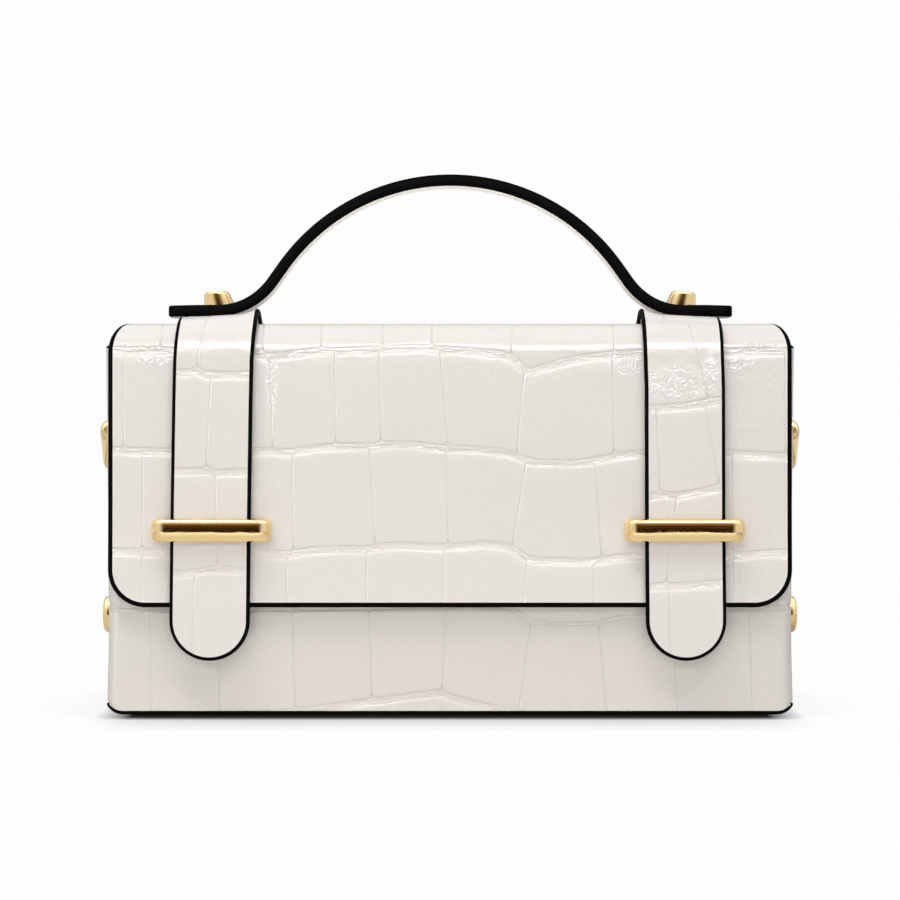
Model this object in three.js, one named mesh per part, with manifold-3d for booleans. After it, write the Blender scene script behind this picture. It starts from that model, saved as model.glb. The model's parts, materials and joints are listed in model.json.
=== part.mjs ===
// Structured leather handbag: an open box of leather, a stiff flap folded over it, two straps that run
// over the top and down through metal bars on the front, an arched handle, and strap fittings on the sides.
// Millimetres, +Z up. The front faces -Y. The origin is on the floor, under the middle of the base.
import * as THREE from 'three';
import { mergeVertices } from 'three/addons/utils/BufferGeometryUtils.js';
import Module from 'manifold-3d';

const wasm = await Module();
wasm.setup();

// Driving dimensions of the leather
const BODY_HALF_DEPTH = 40;
const BODY_CORNER = 4;
const WALL_THICKNESS = 2.2;
const WALL_TOP = 118.2;
const SHEET_GAP = 0.3;
const BASE_THICKNESS = 1.7;
const BASE_FLAT_HALF = 107.4;
const BASE_TURN_UP = 3.5;
const FLAP_THICKNESS = 2.4;
const FLAP_HALF_WIDTH = 110;
const FLAP_TOP_HALF_WIDTH = 105;
const FLAP_BOTTOM = 34.5;
const FLAP_TOP = 126.3;
const FLAP_CORNER = 12.2;
const FLAP_TAIL = 92;
const SHOULDER_RADIUS = 9.7;
const STRAP_THICKNESS = 2.4;
const STRAP_HALF_WIDTH = 12.9;
const STRAP_TIP = 17.8;
const STRAP_TAIL = 98;
const STRAP_MIDDLE = 75.1;
const STRAP_SPREAD = 1.1;
const STRAP_STAND_OFF = 1.05;
const EDGE_ROUND = 0.7;

// Driving dimensions of the handle
const HANDLE_THICKNESS = 3.5;
const HANDLE_HALF_WIDTH = 6.5;
const HANDLE_HALF_LENGTH = 94.7;
const HANDLE_RISE = 43.8;
const HANDLE_SLOPE = THREE.MathUtils.degToRad(52.5);
const ARCH_RADIUS = 69.7;
const FOOT_RADIUS = 20.3;
const HANDLE_CORNER = 2.5;

// Driving dimensions of the metal
const BAR_MIDDLE = 76.1;
const BAR_HEIGHT = 59.4;
const BAR_HALF_LENGTH = 19.3;
const BAR_BREADTH = 7.4;
const BAR_THICKNESS = 3.4;
const BAR_LEG = 5;
const BAR_ROUND = 1.4;
const BAR_CORNER = 3.2;
const STUD_MIDDLE = 77.8;
const STUD_HALF_LENGTH = 5.15;
const STUD_SLANT = 2.6;
const STUD_RISE = 4.6;
const STUD_BREADTH = 9.4;
const STUD_ROUND = 0.6;
const POST_RADIUS = 2;
const POST_PLAY = 0.3;
const WASHER_RADIUS = 4;
const WASHER_THICKNESS = 1;
const LOOP_BOTTOM = 78.1;
const LOOP_TOP = 95.7;
const LOOP_REACH_TOP = 7.1;
const LOOP_REACH_BOTTOM = 6.3;
const LOOP_WIDE_RADIUS = 5;
const LOOP_NARROW_RADIUS = 3.4;
const LOOP_TOP_LEG = 4.2;
const LOOP_BOTTOM_LEG = 2.6;
const LOOP_PASSAGE = 4.6;
const LOOP_CORNER = 3;
const BUTTON_HEIGHT = 29.8;
const BUTTON_RADIUS = 6.25;
const BUTTON_NECK = 3.2;
const BUTTON_COLLAR = 4.6;
const PIN_RADIUS = 1.5;
const PIN_FOOT_RADIUS = 3;

// How far the shape of a hole reaches past the leather on both sides, and the facets of round pieces
const OVERCUT = 4;
const PIN_SIDES = 12;
const BUTTON_SIDES = 24;

// The wall's sections, from the base up: its half width swells a little at the base and at the mouth.
const WALL_SECTIONS = [
  { z: 0.5, halfWidth: 111.0, inset: 0 },
  { z: 25, halfWidth: 110.5, inset: 0 },
  { z: 70, halfWidth: 110.8, inset: 0 },
  { z: WALL_TOP - 1.2, halfWidth: 111.4, inset: 0 },
  { z: WALL_TOP - 0.4, halfWidth: 111.4, inset: 0.3 },
  { z: WALL_TOP, halfWidth: 111.4, inset: 0.9 },
];

// Worked-out places
const FLAP_FACE = BODY_HALF_DEPTH + SHEET_GAP + FLAP_THICKNESS;
const SHOULDER_Y = FLAP_FACE - SHOULDER_RADIUS;
const SHOULDER_Z = FLAP_TOP - SHOULDER_RADIUS;
const STRAP_FACE = FLAP_FACE + SHEET_GAP + STRAP_THICKNESS;
const STRAP_TOP = FLAP_TOP + STRAP_STAND_OFF + STRAP_THICKNESS;
const HANDLE_SEAT = STRAP_TOP + SHEET_GAP;
const HANDLE_FLAT_Z = HANDLE_SEAT + HANDLE_THICKNESS / 2;

// Leather, edge paint and metal colours
const WHITE_LEATHER = { color: 0xe4e0db, roughness: 0.32, metalness: 0 };
const BLACK_EDGED_LEATHER = { color: 0x1a1918, roughness: 0.4, metalness: 0 };
const GOLD_PLATED_BRASS = { color: 0xd9b765, roughness: 0.15, metalness: 1 };

// Mesh helpers

function outward(geometry) {
  const position = geometry.getAttribute('position');
  const index = geometry.getIndex();
  const corner = [new THREE.Vector3(), new THREE.Vector3(), new THREE.Vector3()];
  let volume = 0;
  for (let i = 0; i < index.count; i += 3) {
    corner.forEach((vertex, k) => vertex.fromBufferAttribute(position, index.getX(i + k)));
    volume += corner[0].dot(corner[1].clone().cross(corner[2])) / 6;
  }
  if (volume < 0) flipFaces(geometry);
  return geometry;
}

function flipFaces(geometry) {
  const index = geometry.getIndex();
  for (let i = 0; i < index.count; i += 3) {
    const second = index.getX(i + 1);
    index.setX(i + 1, index.getX(i + 2));
    index.setX(i + 2, second);
  }
  return geometry;
}

function mirrored(geometry) {
  return flipFaces(geometry.clone().scale(-1, 1, 1));
}

// Skins a row of rings that have equally many points. The ends are closed by flat caps, or else the last
// ring runs back into the first one.
function loft(rings, ends) {
  const count = rings[0].length;
  const faces = [];
  const quads = ends === 'capped' ? rings.length - 1 : rings.length;
  for (let i = 0; i < quads; i++) {
    const here = i * count;
    const next = ((i + 1) % rings.length) * count;
    for (let k = 0; k < count; k++) {
      const after = (k + 1) % count;
      faces.push(here + k, here + after, next + after, here + k, next + after, next + k);
    }
  }
  if (ends === 'capped') {
    const last = (rings.length - 1) * count;
    for (let k = 1; k < count - 1; k++) {
      faces.push(0, k + 1, k);
      faces.push(last, last + k, last + k + 1);
    }
  }
  const geometry = new THREE.BufferGeometry().setFromPoints(rings.flat());
  geometry.setIndex(faces);
  return outward(geometry);
}

function solidOf(geometry) {
  const bare = geometry.clone();
  bare.deleteAttribute('normal');
  bare.deleteAttribute('uv');
  const merged = mergeVertices(bare, 1e-4);
  return new wasm.Manifold(
    new wasm.Mesh({
      numProp: 3,
      vertProperties: new Float32Array(merged.getAttribute('position').array),
      triVerts: new Uint32Array(merged.getIndex().array),
    }),
  );
}

function geometryOf(solid) {
  const mesh = solid.getMesh();
  const geometry = new THREE.BufferGeometry();
  geometry.setAttribute('position', new THREE.BufferAttribute(new Float32Array(mesh.vertProperties), 3));
  geometry.setIndex([...mesh.triVerts]);
  return geometry;
}

function cut(geometry, tools) {
  return geometryOf(tools.reduce((solid, tool) => solid.subtract(solidOf(tool)), solidOf(geometry)));
}

function join(pieces) {
  return geometryOf(pieces.map(solidOf).reduce((solid, piece) => solid.add(piece)));
}

function box(from, to) {
  const size = to.clone().sub(from);
  const middle = to.clone().add(from).multiplyScalar(0.5);
  return new THREE.BoxGeometry(size.x, size.y, size.z).translate(middle.x, middle.y, middle.z);
}

function uprightPin(x, radius, bottom, top) {
  const pin = new THREE.CylinderGeometry(radius, radius, top - bottom, PIN_SIDES).rotateX(Math.PI / 2);
  return pin.translate(x, 0, (top + bottom) / 2);
}

function sidewaysPin(radius, inner, outer, z) {
  const pin = new THREE.CylinderGeometry(radius, radius, outer - inner, PIN_SIDES).rotateZ(Math.PI / 2);
  return pin.translate((outer + inner) / 2, 0, z);
}

// Extrudes a shape drawn in X and Z along Y, the same distance to both sides of Y = 0.
function extrudeAlongY(shape, length, round) {
  const settings = {
    depth: length - 2 * round,
    bevelEnabled: round > 0,
    bevelThickness: round,
    bevelSize: round,
    bevelOffset: -round,
    bevelSegments: 3,
    curveSegments: 5,
  };
  const geometry = new THREE.ExtrudeGeometry(shape, settings);
  return geometry.translate(0, 0, round - length / 2).rotateX(Math.PI / 2);
}

// Sheets of leather

// One section of a sheet: eight points, flat faces with slightly rounded edges. The station's point lies on
// the outer face, its normal points out of that face, and its across direction runs along the width.
function sheetSection(station, thickness) {
  const { half } = station;
  const flat = half - EDGE_ROUND;
  const shape = [
    [-flat, 0],
    [flat, 0],
    [half, -EDGE_ROUND],
    [half, EDGE_ROUND - thickness],
    [flat, -thickness],
    [-flat, -thickness],
    [-half, EDGE_ROUND - thickness],
    [-half, -EDGE_ROUND],
  ];
  return shape.map(([along, out]) =>
    station.point.clone().addScaledVector(station.across, along).addScaledVector(station.normal, out),
  );
}

function bentSheet(stations, thickness) {
  return loft(stations.map((station) => sheetSection(station, thickness)), 'capped');
}

// The distances from an end of a sheet, and how far the half width is short of full there, where its
// corners are rounded.
function roundedEnd(radius, steps, startAngle) {
  const rows = [];
  for (let i = 0; i <= steps; i++) {
    const angle = startAngle + ((Math.PI / 2 - startAngle) * i) / steps;
    rows.push({ fromEnd: radius * (1 - Math.cos(angle)), short: radius * (1 - Math.sin(angle)) });
  }
  return rows;
}

// The fold that the flap and the straps follow: up the front, round the front shoulder, across the top,
// round the back shoulder and down the back. Face and top are where the outer face lies.
function foldOver(face, top, frontHeights, backHeights) {
  const bendSteps = 8;
  const deep = face - SHOULDER_Y;
  const tall = top - SHOULDER_Z;
  const stations = [];
  const add = (y, z, ny, nz) => {
    const normal = new THREE.Vector3(0, ny, nz).normalize();
    stations.push({ point: new THREE.Vector3(0, y, z), normal, across: new THREE.Vector3(1, 0, 0), half: 0 });
  };
  frontHeights.forEach((z) => add(-face, z, -1, 0));
  for (const side of [-1, 1]) {
    for (let i = 0; i <= bendSteps; i++) {
      const step = side < 0 ? i : bendSteps - i;
      const angle = ((Math.PI / 2) * step) / bendSteps;
      const y = side * (SHOULDER_Y + deep * Math.cos(angle));
      const z = SHOULDER_Z + tall * Math.sin(angle);
      add(y, z, (side * Math.cos(angle)) / deep, Math.sin(angle) / tall);
    }
  }
  backHeights.forEach((z) => add(face, z, 1, 0));
  return stations;
}

// Leather pieces

function wallHalfWidth(z) {
  const above = WALL_SECTIONS.findIndex((section) => section.z >= z);
  const low = WALL_SECTIONS[above - 1];
  const high = WALL_SECTIONS[above];
  return THREE.MathUtils.mapLinear(z, low.z, high.z, low.halfWidth, high.halfWidth);
}

function wallRing(section, inset) {
  const cornerSteps = 5;
  const radius = BODY_CORNER - inset;
  const middleX = section.halfWidth - BODY_CORNER;
  const middleY = BODY_HALF_DEPTH - BODY_CORNER;
  const points = [];
  for (let quarter = 0; quarter < 4; quarter++) {
    const sideX = quarter === 0 || quarter === 3 ? 1 : -1;
    const sideY = quarter < 2 ? 1 : -1;
    for (let i = 0; i <= cornerSteps; i++) {
      const angle = (Math.PI / 2) * (quarter + i / cornerSteps);
      const x = sideX * middleX + radius * Math.cos(angle);
      const y = sideY * middleY + radius * Math.sin(angle);
      points.push(new THREE.Vector3(x, y, section.z));
    }
  }
  return points;
}

// The base's outline from the front. Its ends turn up at 45 degrees and are pared thinner.
function baseOutline(lift, thinning) {
  const turn = BASE_THICKNESS * Math.tan(Math.PI / 8);
  const end = BASE_FLAT_HALF + BASE_TURN_UP;
  const pared = (BASE_THICKNESS * thinning) / Math.SQRT2;
  return [
    new THREE.Vector2(end - pared, BASE_TURN_UP + pared + lift),
    new THREE.Vector2(BASE_FLAT_HALF - turn, BASE_THICKNESS + lift),
    new THREE.Vector2(turn - BASE_FLAT_HALF, BASE_THICKNESS + lift),
    new THREE.Vector2(pared - end, BASE_TURN_UP + pared + lift),
  ];
}

function base() {
  const paring = 0.6;
  const end = BASE_FLAT_HALF + BASE_TURN_UP;
  const outline = baseOutline(0, paring).concat([
    new THREE.Vector2(-end, BASE_TURN_UP),
    new THREE.Vector2(-BASE_FLAT_HALF, 0),
    new THREE.Vector2(BASE_FLAT_HALF, 0),
    new THREE.Vector2(end, BASE_TURN_UP),
  ]);
  return extrudeAlongY(new THREE.Shape(outline), 2 * BODY_HALF_DEPTH, 0);
}

function bodyWall() {
  const outer = WALL_SECTIONS.map((section) => wallRing(section, section.inset));
  const inner = WALL_SECTIONS.map((section) => wallRing(section, WALL_THICKNESS - section.inset / 2));
  const wall = loft(outer.concat(inner.reverse()), 'joined');
  const beyond = 130;
  const below = -10;
  const top = baseOutline(SHEET_GAP * Math.SQRT2, 1);
  const overBase = [
    new THREE.Vector2(beyond, below),
    new THREE.Vector2(beyond, top[0].y + beyond - top[0].x),
    ...top.slice(1, 3),
    new THREE.Vector2(-beyond, top[0].y + beyond - top[0].x),
    new THREE.Vector2(-beyond, below),
  ];
  const underside = extrudeAlongY(new THREE.Shape(overBase), 3 * BODY_HALF_DEPTH, 0);
  const sideHoles = [];
  for (const z of SIDE_PINS) {
    const face = wallHalfWidth(z);
    const hole = sidewaysPin(PIN_RADIUS + POST_PLAY, face - WALL_THICKNESS - OVERCUT, face + OVERCUT, z);
    sideHoles.push(hole, mirrored(hole));
  }
  return cut(wall, [underside, ...barSlots(), ...sideHoles]);
}

function flap() {
  const front = roundedEnd(FLAP_CORNER, 6, 0);
  const tail = roundedEnd(FLAP_CORNER, 4, 0);
  const frontHeights = front.map((row) => FLAP_BOTTOM + row.fromEnd);
  const backHeights = tail.map((row) => FLAP_TAIL + row.fromEnd).reverse();
  const stations = foldOver(FLAP_FACE, FLAP_TOP, frontHeights, backHeights);
  const narrowing = FLAP_HALF_WIDTH - FLAP_TOP_HALF_WIDTH;
  stations.forEach((station, i) => {
    const { y, z } = station.point;
    const climb = Math.max(0, (z - SHOULDER_Z) / SHOULDER_RADIUS);
    const onFront = narrowing * (1 - Math.sqrt(Math.max(0, 1 - climb * climb)));
    station.half = FLAP_HALF_WIDTH - (y < 0 ? onFront : narrowing);
    if (i < front.length) station.half -= front[i].short;
    const fromTail = stations.length - 1 - i;
    if (fromTail < tail.length) station.half -= tail[fromTail].short;
  });
  const under = FLAP_TOP - FLAP_THICKNESS;
  const postHole = uprightPin(STUD_MIDDLE, POST_RADIUS + POST_PLAY, under - OVERCUT, FLAP_TOP + OVERCUT);
  return cut(bentSheet(stations, FLAP_THICKNESS), [...barSlots(), postHole, mirrored(postHole)]);
}

function strap() {
  const tipSteps = 8;
  const tipStart = 0.16;
  const tip = roundedEnd(STRAP_HALF_WIDTH, tipSteps, tipStart);
  const frontHeights = tip.map((row) => STRAP_TIP + row.fromEnd);
  const stations = foldOver(STRAP_FACE, STRAP_TOP, frontHeights, [STRAP_TAIL]);
  const tipTop = frontHeights[frontHeights.length - 1];
  stations.forEach((station, i) => {
    const { y, z } = station.point;
    const down = y < 0 ? THREE.MathUtils.clamp((SHOULDER_Z - z) / (SHOULDER_Z - tipTop), 0, 1) : 0;
    station.half = STRAP_HALF_WIDTH - (i < tip.length ? tip[i].short : 0);
    station.point.x = STRAP_MIDDLE + STRAP_SPREAD * down;
  });
  const under = STRAP_TOP - STRAP_THICKNESS;
  const postHole = uprightPin(STUD_MIDDLE, POST_RADIUS + POST_PLAY, under - OVERCUT, STRAP_TOP + OVERCUT);
  return cut(bentSheet(stations, STRAP_THICKNESS), [postHole]);
}

// Half of the handle's middle line, from the crown down to the end: the arch, a straight slope, the turn of
// the foot and the flat end.
function handleHalf() {
  const archSteps = 10;
  const footSteps = 7;
  const bothBends = (ARCH_RADIUS + FOOT_RADIUS) * (1 - Math.cos(HANDLE_SLOPE));
  const slopeLength = (HANDLE_RISE - bothBends) / Math.sin(HANDLE_SLOPE);
  const crown = HANDLE_FLAT_Z + HANDLE_RISE;
  const rows = [];
  for (let i = 0; i <= archSteps; i++) {
    const angle = (HANDLE_SLOPE * i) / archSteps;
    rows.push({ x: ARCH_RADIUS * Math.sin(angle), z: crown - ARCH_RADIUS * (1 - Math.cos(angle)), angle });
  }
  const slopeEnd = rows[archSteps];
  const footX = slopeEnd.x + slopeLength * Math.cos(HANDLE_SLOPE) + FOOT_RADIUS * Math.sin(HANDLE_SLOPE);
  for (let i = footSteps; i >= 0; i--) {
    const angle = (HANDLE_SLOPE * i) / footSteps;
    const z = HANDLE_FLAT_Z + FOOT_RADIUS * (1 - Math.cos(angle));
    rows.push({ x: footX - FOOT_RADIUS * Math.sin(angle), z, angle });
  }
  for (const { fromEnd, short } of roundedEnd(HANDLE_CORNER, 3, 0).reverse()) {
    rows.push({ x: HANDLE_HALF_LENGTH - fromEnd, z: HANDLE_FLAT_Z, angle: 0, short });
  }
  return rows;
}

function handle() {
  const right = handleHalf();
  const left = right.slice(1).reverse();
  const stationAt = ({ x, z, angle, short = 0 }, side) => {
    const normal = new THREE.Vector3(side * Math.sin(angle), 0, Math.cos(angle));
    const point = new THREE.Vector3(side * x, 0, z).addScaledVector(normal, HANDLE_THICKNESS / 2);
    return { point, normal, across: new THREE.Vector3(0, 1, 0), half: HANDLE_HALF_WIDTH - short };
  };
  const stations = left.map((row) => stationAt(row, -1)).concat(right.map((row) => stationAt(row, 1)));
  const top = HANDLE_SEAT + HANDLE_THICKNESS;
  const hole = uprightPin(STUD_MIDDLE, POST_RADIUS + POST_PLAY, HANDLE_SEAT - OVERCUT, top + OVERCUT);
  return cut(bentSheet(stations, HANDLE_THICKNESS), [hole, mirrored(hole)]);
}

// Metal pieces

// A bar on the front that a strap runs through: a flat staple with rounded edges, whose legs pass through
// the flap and the front wall to a plain foot inside.
function frontBar() {
  const back = STRAP_FACE + 2 * SHEET_GAP;
  const face = back + BAR_THICKNESS;
  const inside = BODY_HALF_DEPTH - WALL_THICKNESS - SHEET_GAP;
  const footThickness = 1.1;
  const footSpread = 1.4;
  const legEnd = inside - footThickness / 2;
  const inner = BAR_HALF_LENGTH - BAR_LEG;
  const outline = new THREE.Shape();
  outline.moveTo(-BAR_HALF_LENGTH, -legEnd);
  outline.lineTo(-BAR_HALF_LENGTH, BAR_CORNER - face);
  outline.quadraticCurveTo(-BAR_HALF_LENGTH, -face, BAR_CORNER - BAR_HALF_LENGTH, -face);
  outline.lineTo(BAR_HALF_LENGTH - BAR_CORNER, -face);
  outline.quadraticCurveTo(BAR_HALF_LENGTH, -face, BAR_HALF_LENGTH, BAR_CORNER - face);
  outline.lineTo(BAR_HALF_LENGTH, -legEnd);
  outline.lineTo(inner, -legEnd);
  outline.lineTo(inner, -back);
  outline.lineTo(-inner, -back);
  outline.lineTo(-inner, -legEnd);
  outline.closePath();
  const settings = {
    depth: BAR_BREADTH - 2 * BAR_ROUND,
    bevelThickness: BAR_ROUND,
    bevelSize: BAR_ROUND,
    bevelOffset: -BAR_ROUND,
    bevelSegments: 3,
    curveSegments: 6,
  };
  const staple = new THREE.ExtrudeGeometry(outline, settings);
  staple.translate(0, 0, BAR_ROUND - BAR_BREADTH / 2);
  const footHalf = BAR_BREADTH / 2 + footSpread;
  const foot = box(
    new THREE.Vector3(inner - footSpread, -inside, -footHalf),
    new THREE.Vector3(BAR_HALF_LENGTH + footSpread, footThickness - inside, footHalf),
  );
  return join([staple, foot, mirrored(foot)]).translate(BAR_MIDDLE, 0, BAR_HEIGHT);
}

function barSlots() {
  const inner = BAR_HALF_LENGTH - BAR_LEG - POST_PLAY;
  const outer = BAR_HALF_LENGTH + POST_PLAY;
  const half = BAR_BREADTH / 2 + POST_PLAY;
  const slots = [];
  for (const side of [-1, 1]) {
    const middle = BAR_MIDDLE + side * (inner + outer) / 2;
    const reach = (outer - inner) / 2;
    const slot = box(
      new THREE.Vector3(middle - reach, -FLAP_FACE - OVERCUT, BAR_HEIGHT - half),
      new THREE.Vector3(middle + reach, WALL_THICKNESS + OVERCUT - BODY_HALF_DEPTH, BAR_HEIGHT + half),
    );
    slots.push(slot, mirrored(slot));
  }
  return slots;
}

// A stud on the handle's end, with an upright outer side and a slanting inner side. Its post goes down
// through the handle, the strap and the flap to a washer under the flap.
function handleStud() {
  const bottom = HANDLE_SEAT + HANDLE_THICKNESS + SHEET_GAP;
  const inner = STUD_MIDDLE - STUD_HALF_LENGTH;
  const outer = STUD_MIDDLE + STUD_HALF_LENGTH;
  const handleClimb = 0.9;
  const outline = new THREE.Shape([
    new THREE.Vector2(inner, bottom + handleClimb),
    new THREE.Vector2(STUD_MIDDLE, bottom),
    new THREE.Vector2(outer, bottom),
    new THREE.Vector2(outer, bottom + STUD_RISE),
    new THREE.Vector2(inner + STUD_SLANT, bottom + STUD_RISE),
  ]);
  const head = extrudeAlongY(outline, STUD_BREADTH, STUD_ROUND);
  const washerTop = FLAP_TOP - FLAP_THICKNESS - SHEET_GAP;
  const post = uprightPin(STUD_MIDDLE, POST_RADIUS, washerTop - WASHER_THICKNESS / 2, bottom + STUD_RISE / 2);
  const washer = uprightPin(STUD_MIDDLE, WASHER_RADIUS, washerTop - WASHER_THICKNESS, washerTop);
  return join([head, post, washer]);
}

// Where the pins of the side fittings go through the side walls
const LOOP_PINS = [LOOP_TOP - LOOP_TOP_LEG / 2, LOOP_BOTTOM + LOOP_BOTTOM_LEG / 2];
const SIDE_PINS = [...LOOP_PINS, BUTTON_HEIGHT];

function pinWithFoot(wall, z) {
  const inside = wall - WALL_THICKNESS - SHEET_GAP;
  const bite = 1.5;
  const pin = sidewaysPin(PIN_RADIUS, inside - WASHER_THICKNESS / 2, wall + bite, z);
  const foot = sidewaysPin(PIN_FOOT_RADIUS, inside - WASHER_THICKNESS, inside, z);
  return [pin, foot];
}

// The upper side fitting: a loop that a shoulder strap's clip hooks into. From the front it is a C whose
// legs meet the wall, and from the side it is pear-shaped, wider at its top.
function strapLoop() {
  const wall = wallHalfWidth((LOOP_TOP + LOOP_BOTTOM) / 2);
  const seat = wall + SHEET_GAP;
  const outerTop = seat + LOOP_REACH_TOP;
  const outerBottom = seat + LOOP_REACH_BOTTOM;
  const fromFront = new THREE.Shape();
  fromFront.moveTo(seat, LOOP_BOTTOM);
  fromFront.lineTo(outerBottom - LOOP_CORNER, LOOP_BOTTOM);
  fromFront.quadraticCurveTo(outerBottom, LOOP_BOTTOM, outerBottom, LOOP_BOTTOM + LOOP_CORNER);
  fromFront.lineTo(outerTop, LOOP_TOP - LOOP_CORNER);
  fromFront.quadraticCurveTo(outerTop, LOOP_TOP, outerTop - LOOP_CORNER, LOOP_TOP);
  fromFront.lineTo(seat, LOOP_TOP);
  fromFront.lineTo(seat, LOOP_TOP - LOOP_TOP_LEG);
  fromFront.lineTo(seat + LOOP_PASSAGE, LOOP_TOP - LOOP_TOP_LEG);
  fromFront.lineTo(seat + LOOP_PASSAGE, LOOP_BOTTOM + LOOP_BOTTOM_LEG);
  fromFront.lineTo(seat, LOOP_BOTTOM + LOOP_BOTTOM_LEG);
  fromFront.closePath();
  const fromSide = new THREE.Shape();
  fromSide.absarc(0, LOOP_TOP - LOOP_WIDE_RADIUS, LOOP_WIDE_RADIUS, 0, Math.PI, false);
  fromSide.absarc(0, LOOP_BOTTOM + LOOP_NARROW_RADIUS, LOOP_NARROW_RADIUS, Math.PI, 2 * Math.PI, false);
  fromSide.closePath();
  const band = extrudeAlongY(fromFront, 4 * LOOP_WIDE_RADIUS, 0);
  const pear = extrudeAlongY(fromSide, 4 * LOOP_PASSAGE, 0).rotateZ(Math.PI / 2).translate(outerTop, 0, 0);
  const loop = geometryOf(solidOf(band).intersect(solidOf(pear)));
  return join([loop, ...LOOP_PINS.flatMap((z) => pinWithFoot(wall, z))]);
}

// The lower side fitting: a button that the slit end of a shoulder strap goes over.
function strapButton() {
  const wall = wallHalfWidth(BUTTON_HEIGHT);
  const inside = -WALL_THICKNESS - SHEET_GAP;
  const profile = [
    { radius: 0, out: inside - WASHER_THICKNESS },
    { radius: PIN_FOOT_RADIUS, out: inside - WASHER_THICKNESS },
    { radius: PIN_FOOT_RADIUS, out: inside },
    { radius: PIN_RADIUS, out: inside },
    { radius: PIN_RADIUS, out: SHEET_GAP },
    { radius: BUTTON_COLLAR, out: SHEET_GAP },
    { radius: BUTTON_COLLAR, out: 1.1 },
    { radius: BUTTON_NECK, out: 1.5 },
    { radius: BUTTON_NECK, out: 3 },
    { radius: BUTTON_RADIUS - 0.5, out: 3.1 },
    { radius: BUTTON_RADIUS, out: 3.7 },
    { radius: BUTTON_RADIUS, out: 5 },
    { radius: BUTTON_RADIUS - 0.8, out: 6 },
    { radius: 0, out: 6.4 },
  ].map(({ radius, out }) => new THREE.Vector2(radius, out));
  const button = new THREE.LatheGeometry(profile, BUTTON_SIDES);
  return button.rotateZ(-Math.PI / 2).translate(wall, 0, BUTTON_HEIGHT);
}

// The bag

const bag = new THREE.Group();

function addPiece(name, geometry, finish) {
  const mesh = new THREE.Mesh(geometry, new THREE.MeshStandardMaterial(finish));
  mesh.name = name;
  bag.add(mesh);
}

function addPair(name, rightHand, finish) {
  addPiece(`${name}_left`, mirrored(rightHand), finish);
  addPiece(`${name}_right`, rightHand, finish);
}

addPiece('base', base(), BLACK_EDGED_LEATHER);
addPiece('body_wall', bodyWall(), WHITE_LEATHER);
addPiece('flap', flap(), WHITE_LEATHER);
addPair('strap', strap(), WHITE_LEATHER);
addPiece('handle', handle(), BLACK_EDGED_LEATHER);
addPair('front_bar', frontBar(), GOLD_PLATED_BRASS);
addPair('handle_stud', handleStud(), GOLD_PLATED_BRASS);
addPair('strap_loop', strapLoop(), GOLD_PLATED_BRASS);
addPair('strap_button', strapButton(), GOLD_PLATED_BRASS);

export default bag;
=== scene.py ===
import json
import math
import random

import bmesh
import bpy
import numpy as np
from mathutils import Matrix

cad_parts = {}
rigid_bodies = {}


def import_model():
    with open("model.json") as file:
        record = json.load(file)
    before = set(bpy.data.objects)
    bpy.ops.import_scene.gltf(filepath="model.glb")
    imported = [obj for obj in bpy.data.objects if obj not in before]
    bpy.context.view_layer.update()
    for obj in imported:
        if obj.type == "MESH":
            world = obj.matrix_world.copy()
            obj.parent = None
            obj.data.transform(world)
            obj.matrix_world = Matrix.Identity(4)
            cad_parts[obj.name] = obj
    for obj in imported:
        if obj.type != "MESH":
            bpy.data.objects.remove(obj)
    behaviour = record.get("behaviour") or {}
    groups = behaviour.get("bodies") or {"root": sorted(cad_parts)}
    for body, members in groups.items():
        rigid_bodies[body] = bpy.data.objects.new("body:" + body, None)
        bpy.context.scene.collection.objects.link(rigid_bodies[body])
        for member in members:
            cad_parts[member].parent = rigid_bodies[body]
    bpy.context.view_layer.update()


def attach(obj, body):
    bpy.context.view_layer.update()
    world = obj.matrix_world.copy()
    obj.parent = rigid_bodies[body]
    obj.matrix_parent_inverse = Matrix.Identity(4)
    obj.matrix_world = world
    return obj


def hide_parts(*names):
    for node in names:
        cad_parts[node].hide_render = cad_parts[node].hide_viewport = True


# A structured leather handbag: an open leather box, a stiff flap folded over it, two straps through gold
# bars, an arched handle and strap fittings on the sides. Sizes are in millimetres and meshes in metres.
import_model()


# The base
# A strip of smooth leather under the bag, cut out flat. Its ends curl up against the side walls, and its cut
# edges are sealed with black edge paint that stands up as a thin bead.
MM = 0.001
BODY_HALF_DEPTH = 40.0
BASE_FLAT_HALF = 105.4
BASE_CURVE = 6.07
BASE_TURN = math.radians(65)
BASE_PARED = 0.35
BASE_CORNER = 1.2
BASE_COLUMNS = 24
LEAST_CORNER_ROWS = 4
CORNER_ROWS_PER_MM = 1.3
LEATHER_CREASE = 50
# The profile of the rolled edge, as (out past the sheet's rim, up from its face)
BASE_EDGE = [(0.25, 0.0), (0.45, -0.15), (0.55, -0.55), (0.45, -0.95), (0.25, -1.1), (0.0, -1.1)]
LINING_COLOUR = "#e8e5df"
PAINT_COLOUR = "#050505"


def linear(colour):
    """Turns an sRGB hex colour into the linear one that a shader takes."""
    parts = [int(colour[i:i + 2], 16) / 255 for i in (1, 3, 5)]
    return [p / 12.92 if p <= 0.04045 else ((p + 0.055) / 1.055) ** 2.4 for p in parts] + [1.0]


def add_node(tree, kind, inputs, **settings):
    """Adds a node with its settings. An input that is given a socket is linked, any other gets the value."""
    node = tree.nodes.new(kind)
    for name, value in settings.items():
        setattr(node, name, value)
    for name, value in inputs.items():
        if isinstance(value, bpy.types.NodeSocket):
            tree.links.new(value, node.inputs[name])
        else:
            node.inputs[name].default_value = value
    return node


def new_material(name, **values):
    """A material with its shader's constant values set; returns it with its nodes and its shader."""
    material = bpy.data.materials.new(name)
    material.use_nodes = True
    tree = material.node_tree
    shader = tree.nodes["Principled BSDF"]
    for socket, value in values.items():
        shader.inputs[socket.replace("_", " ")].default_value = value
    return material, tree, shader


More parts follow.
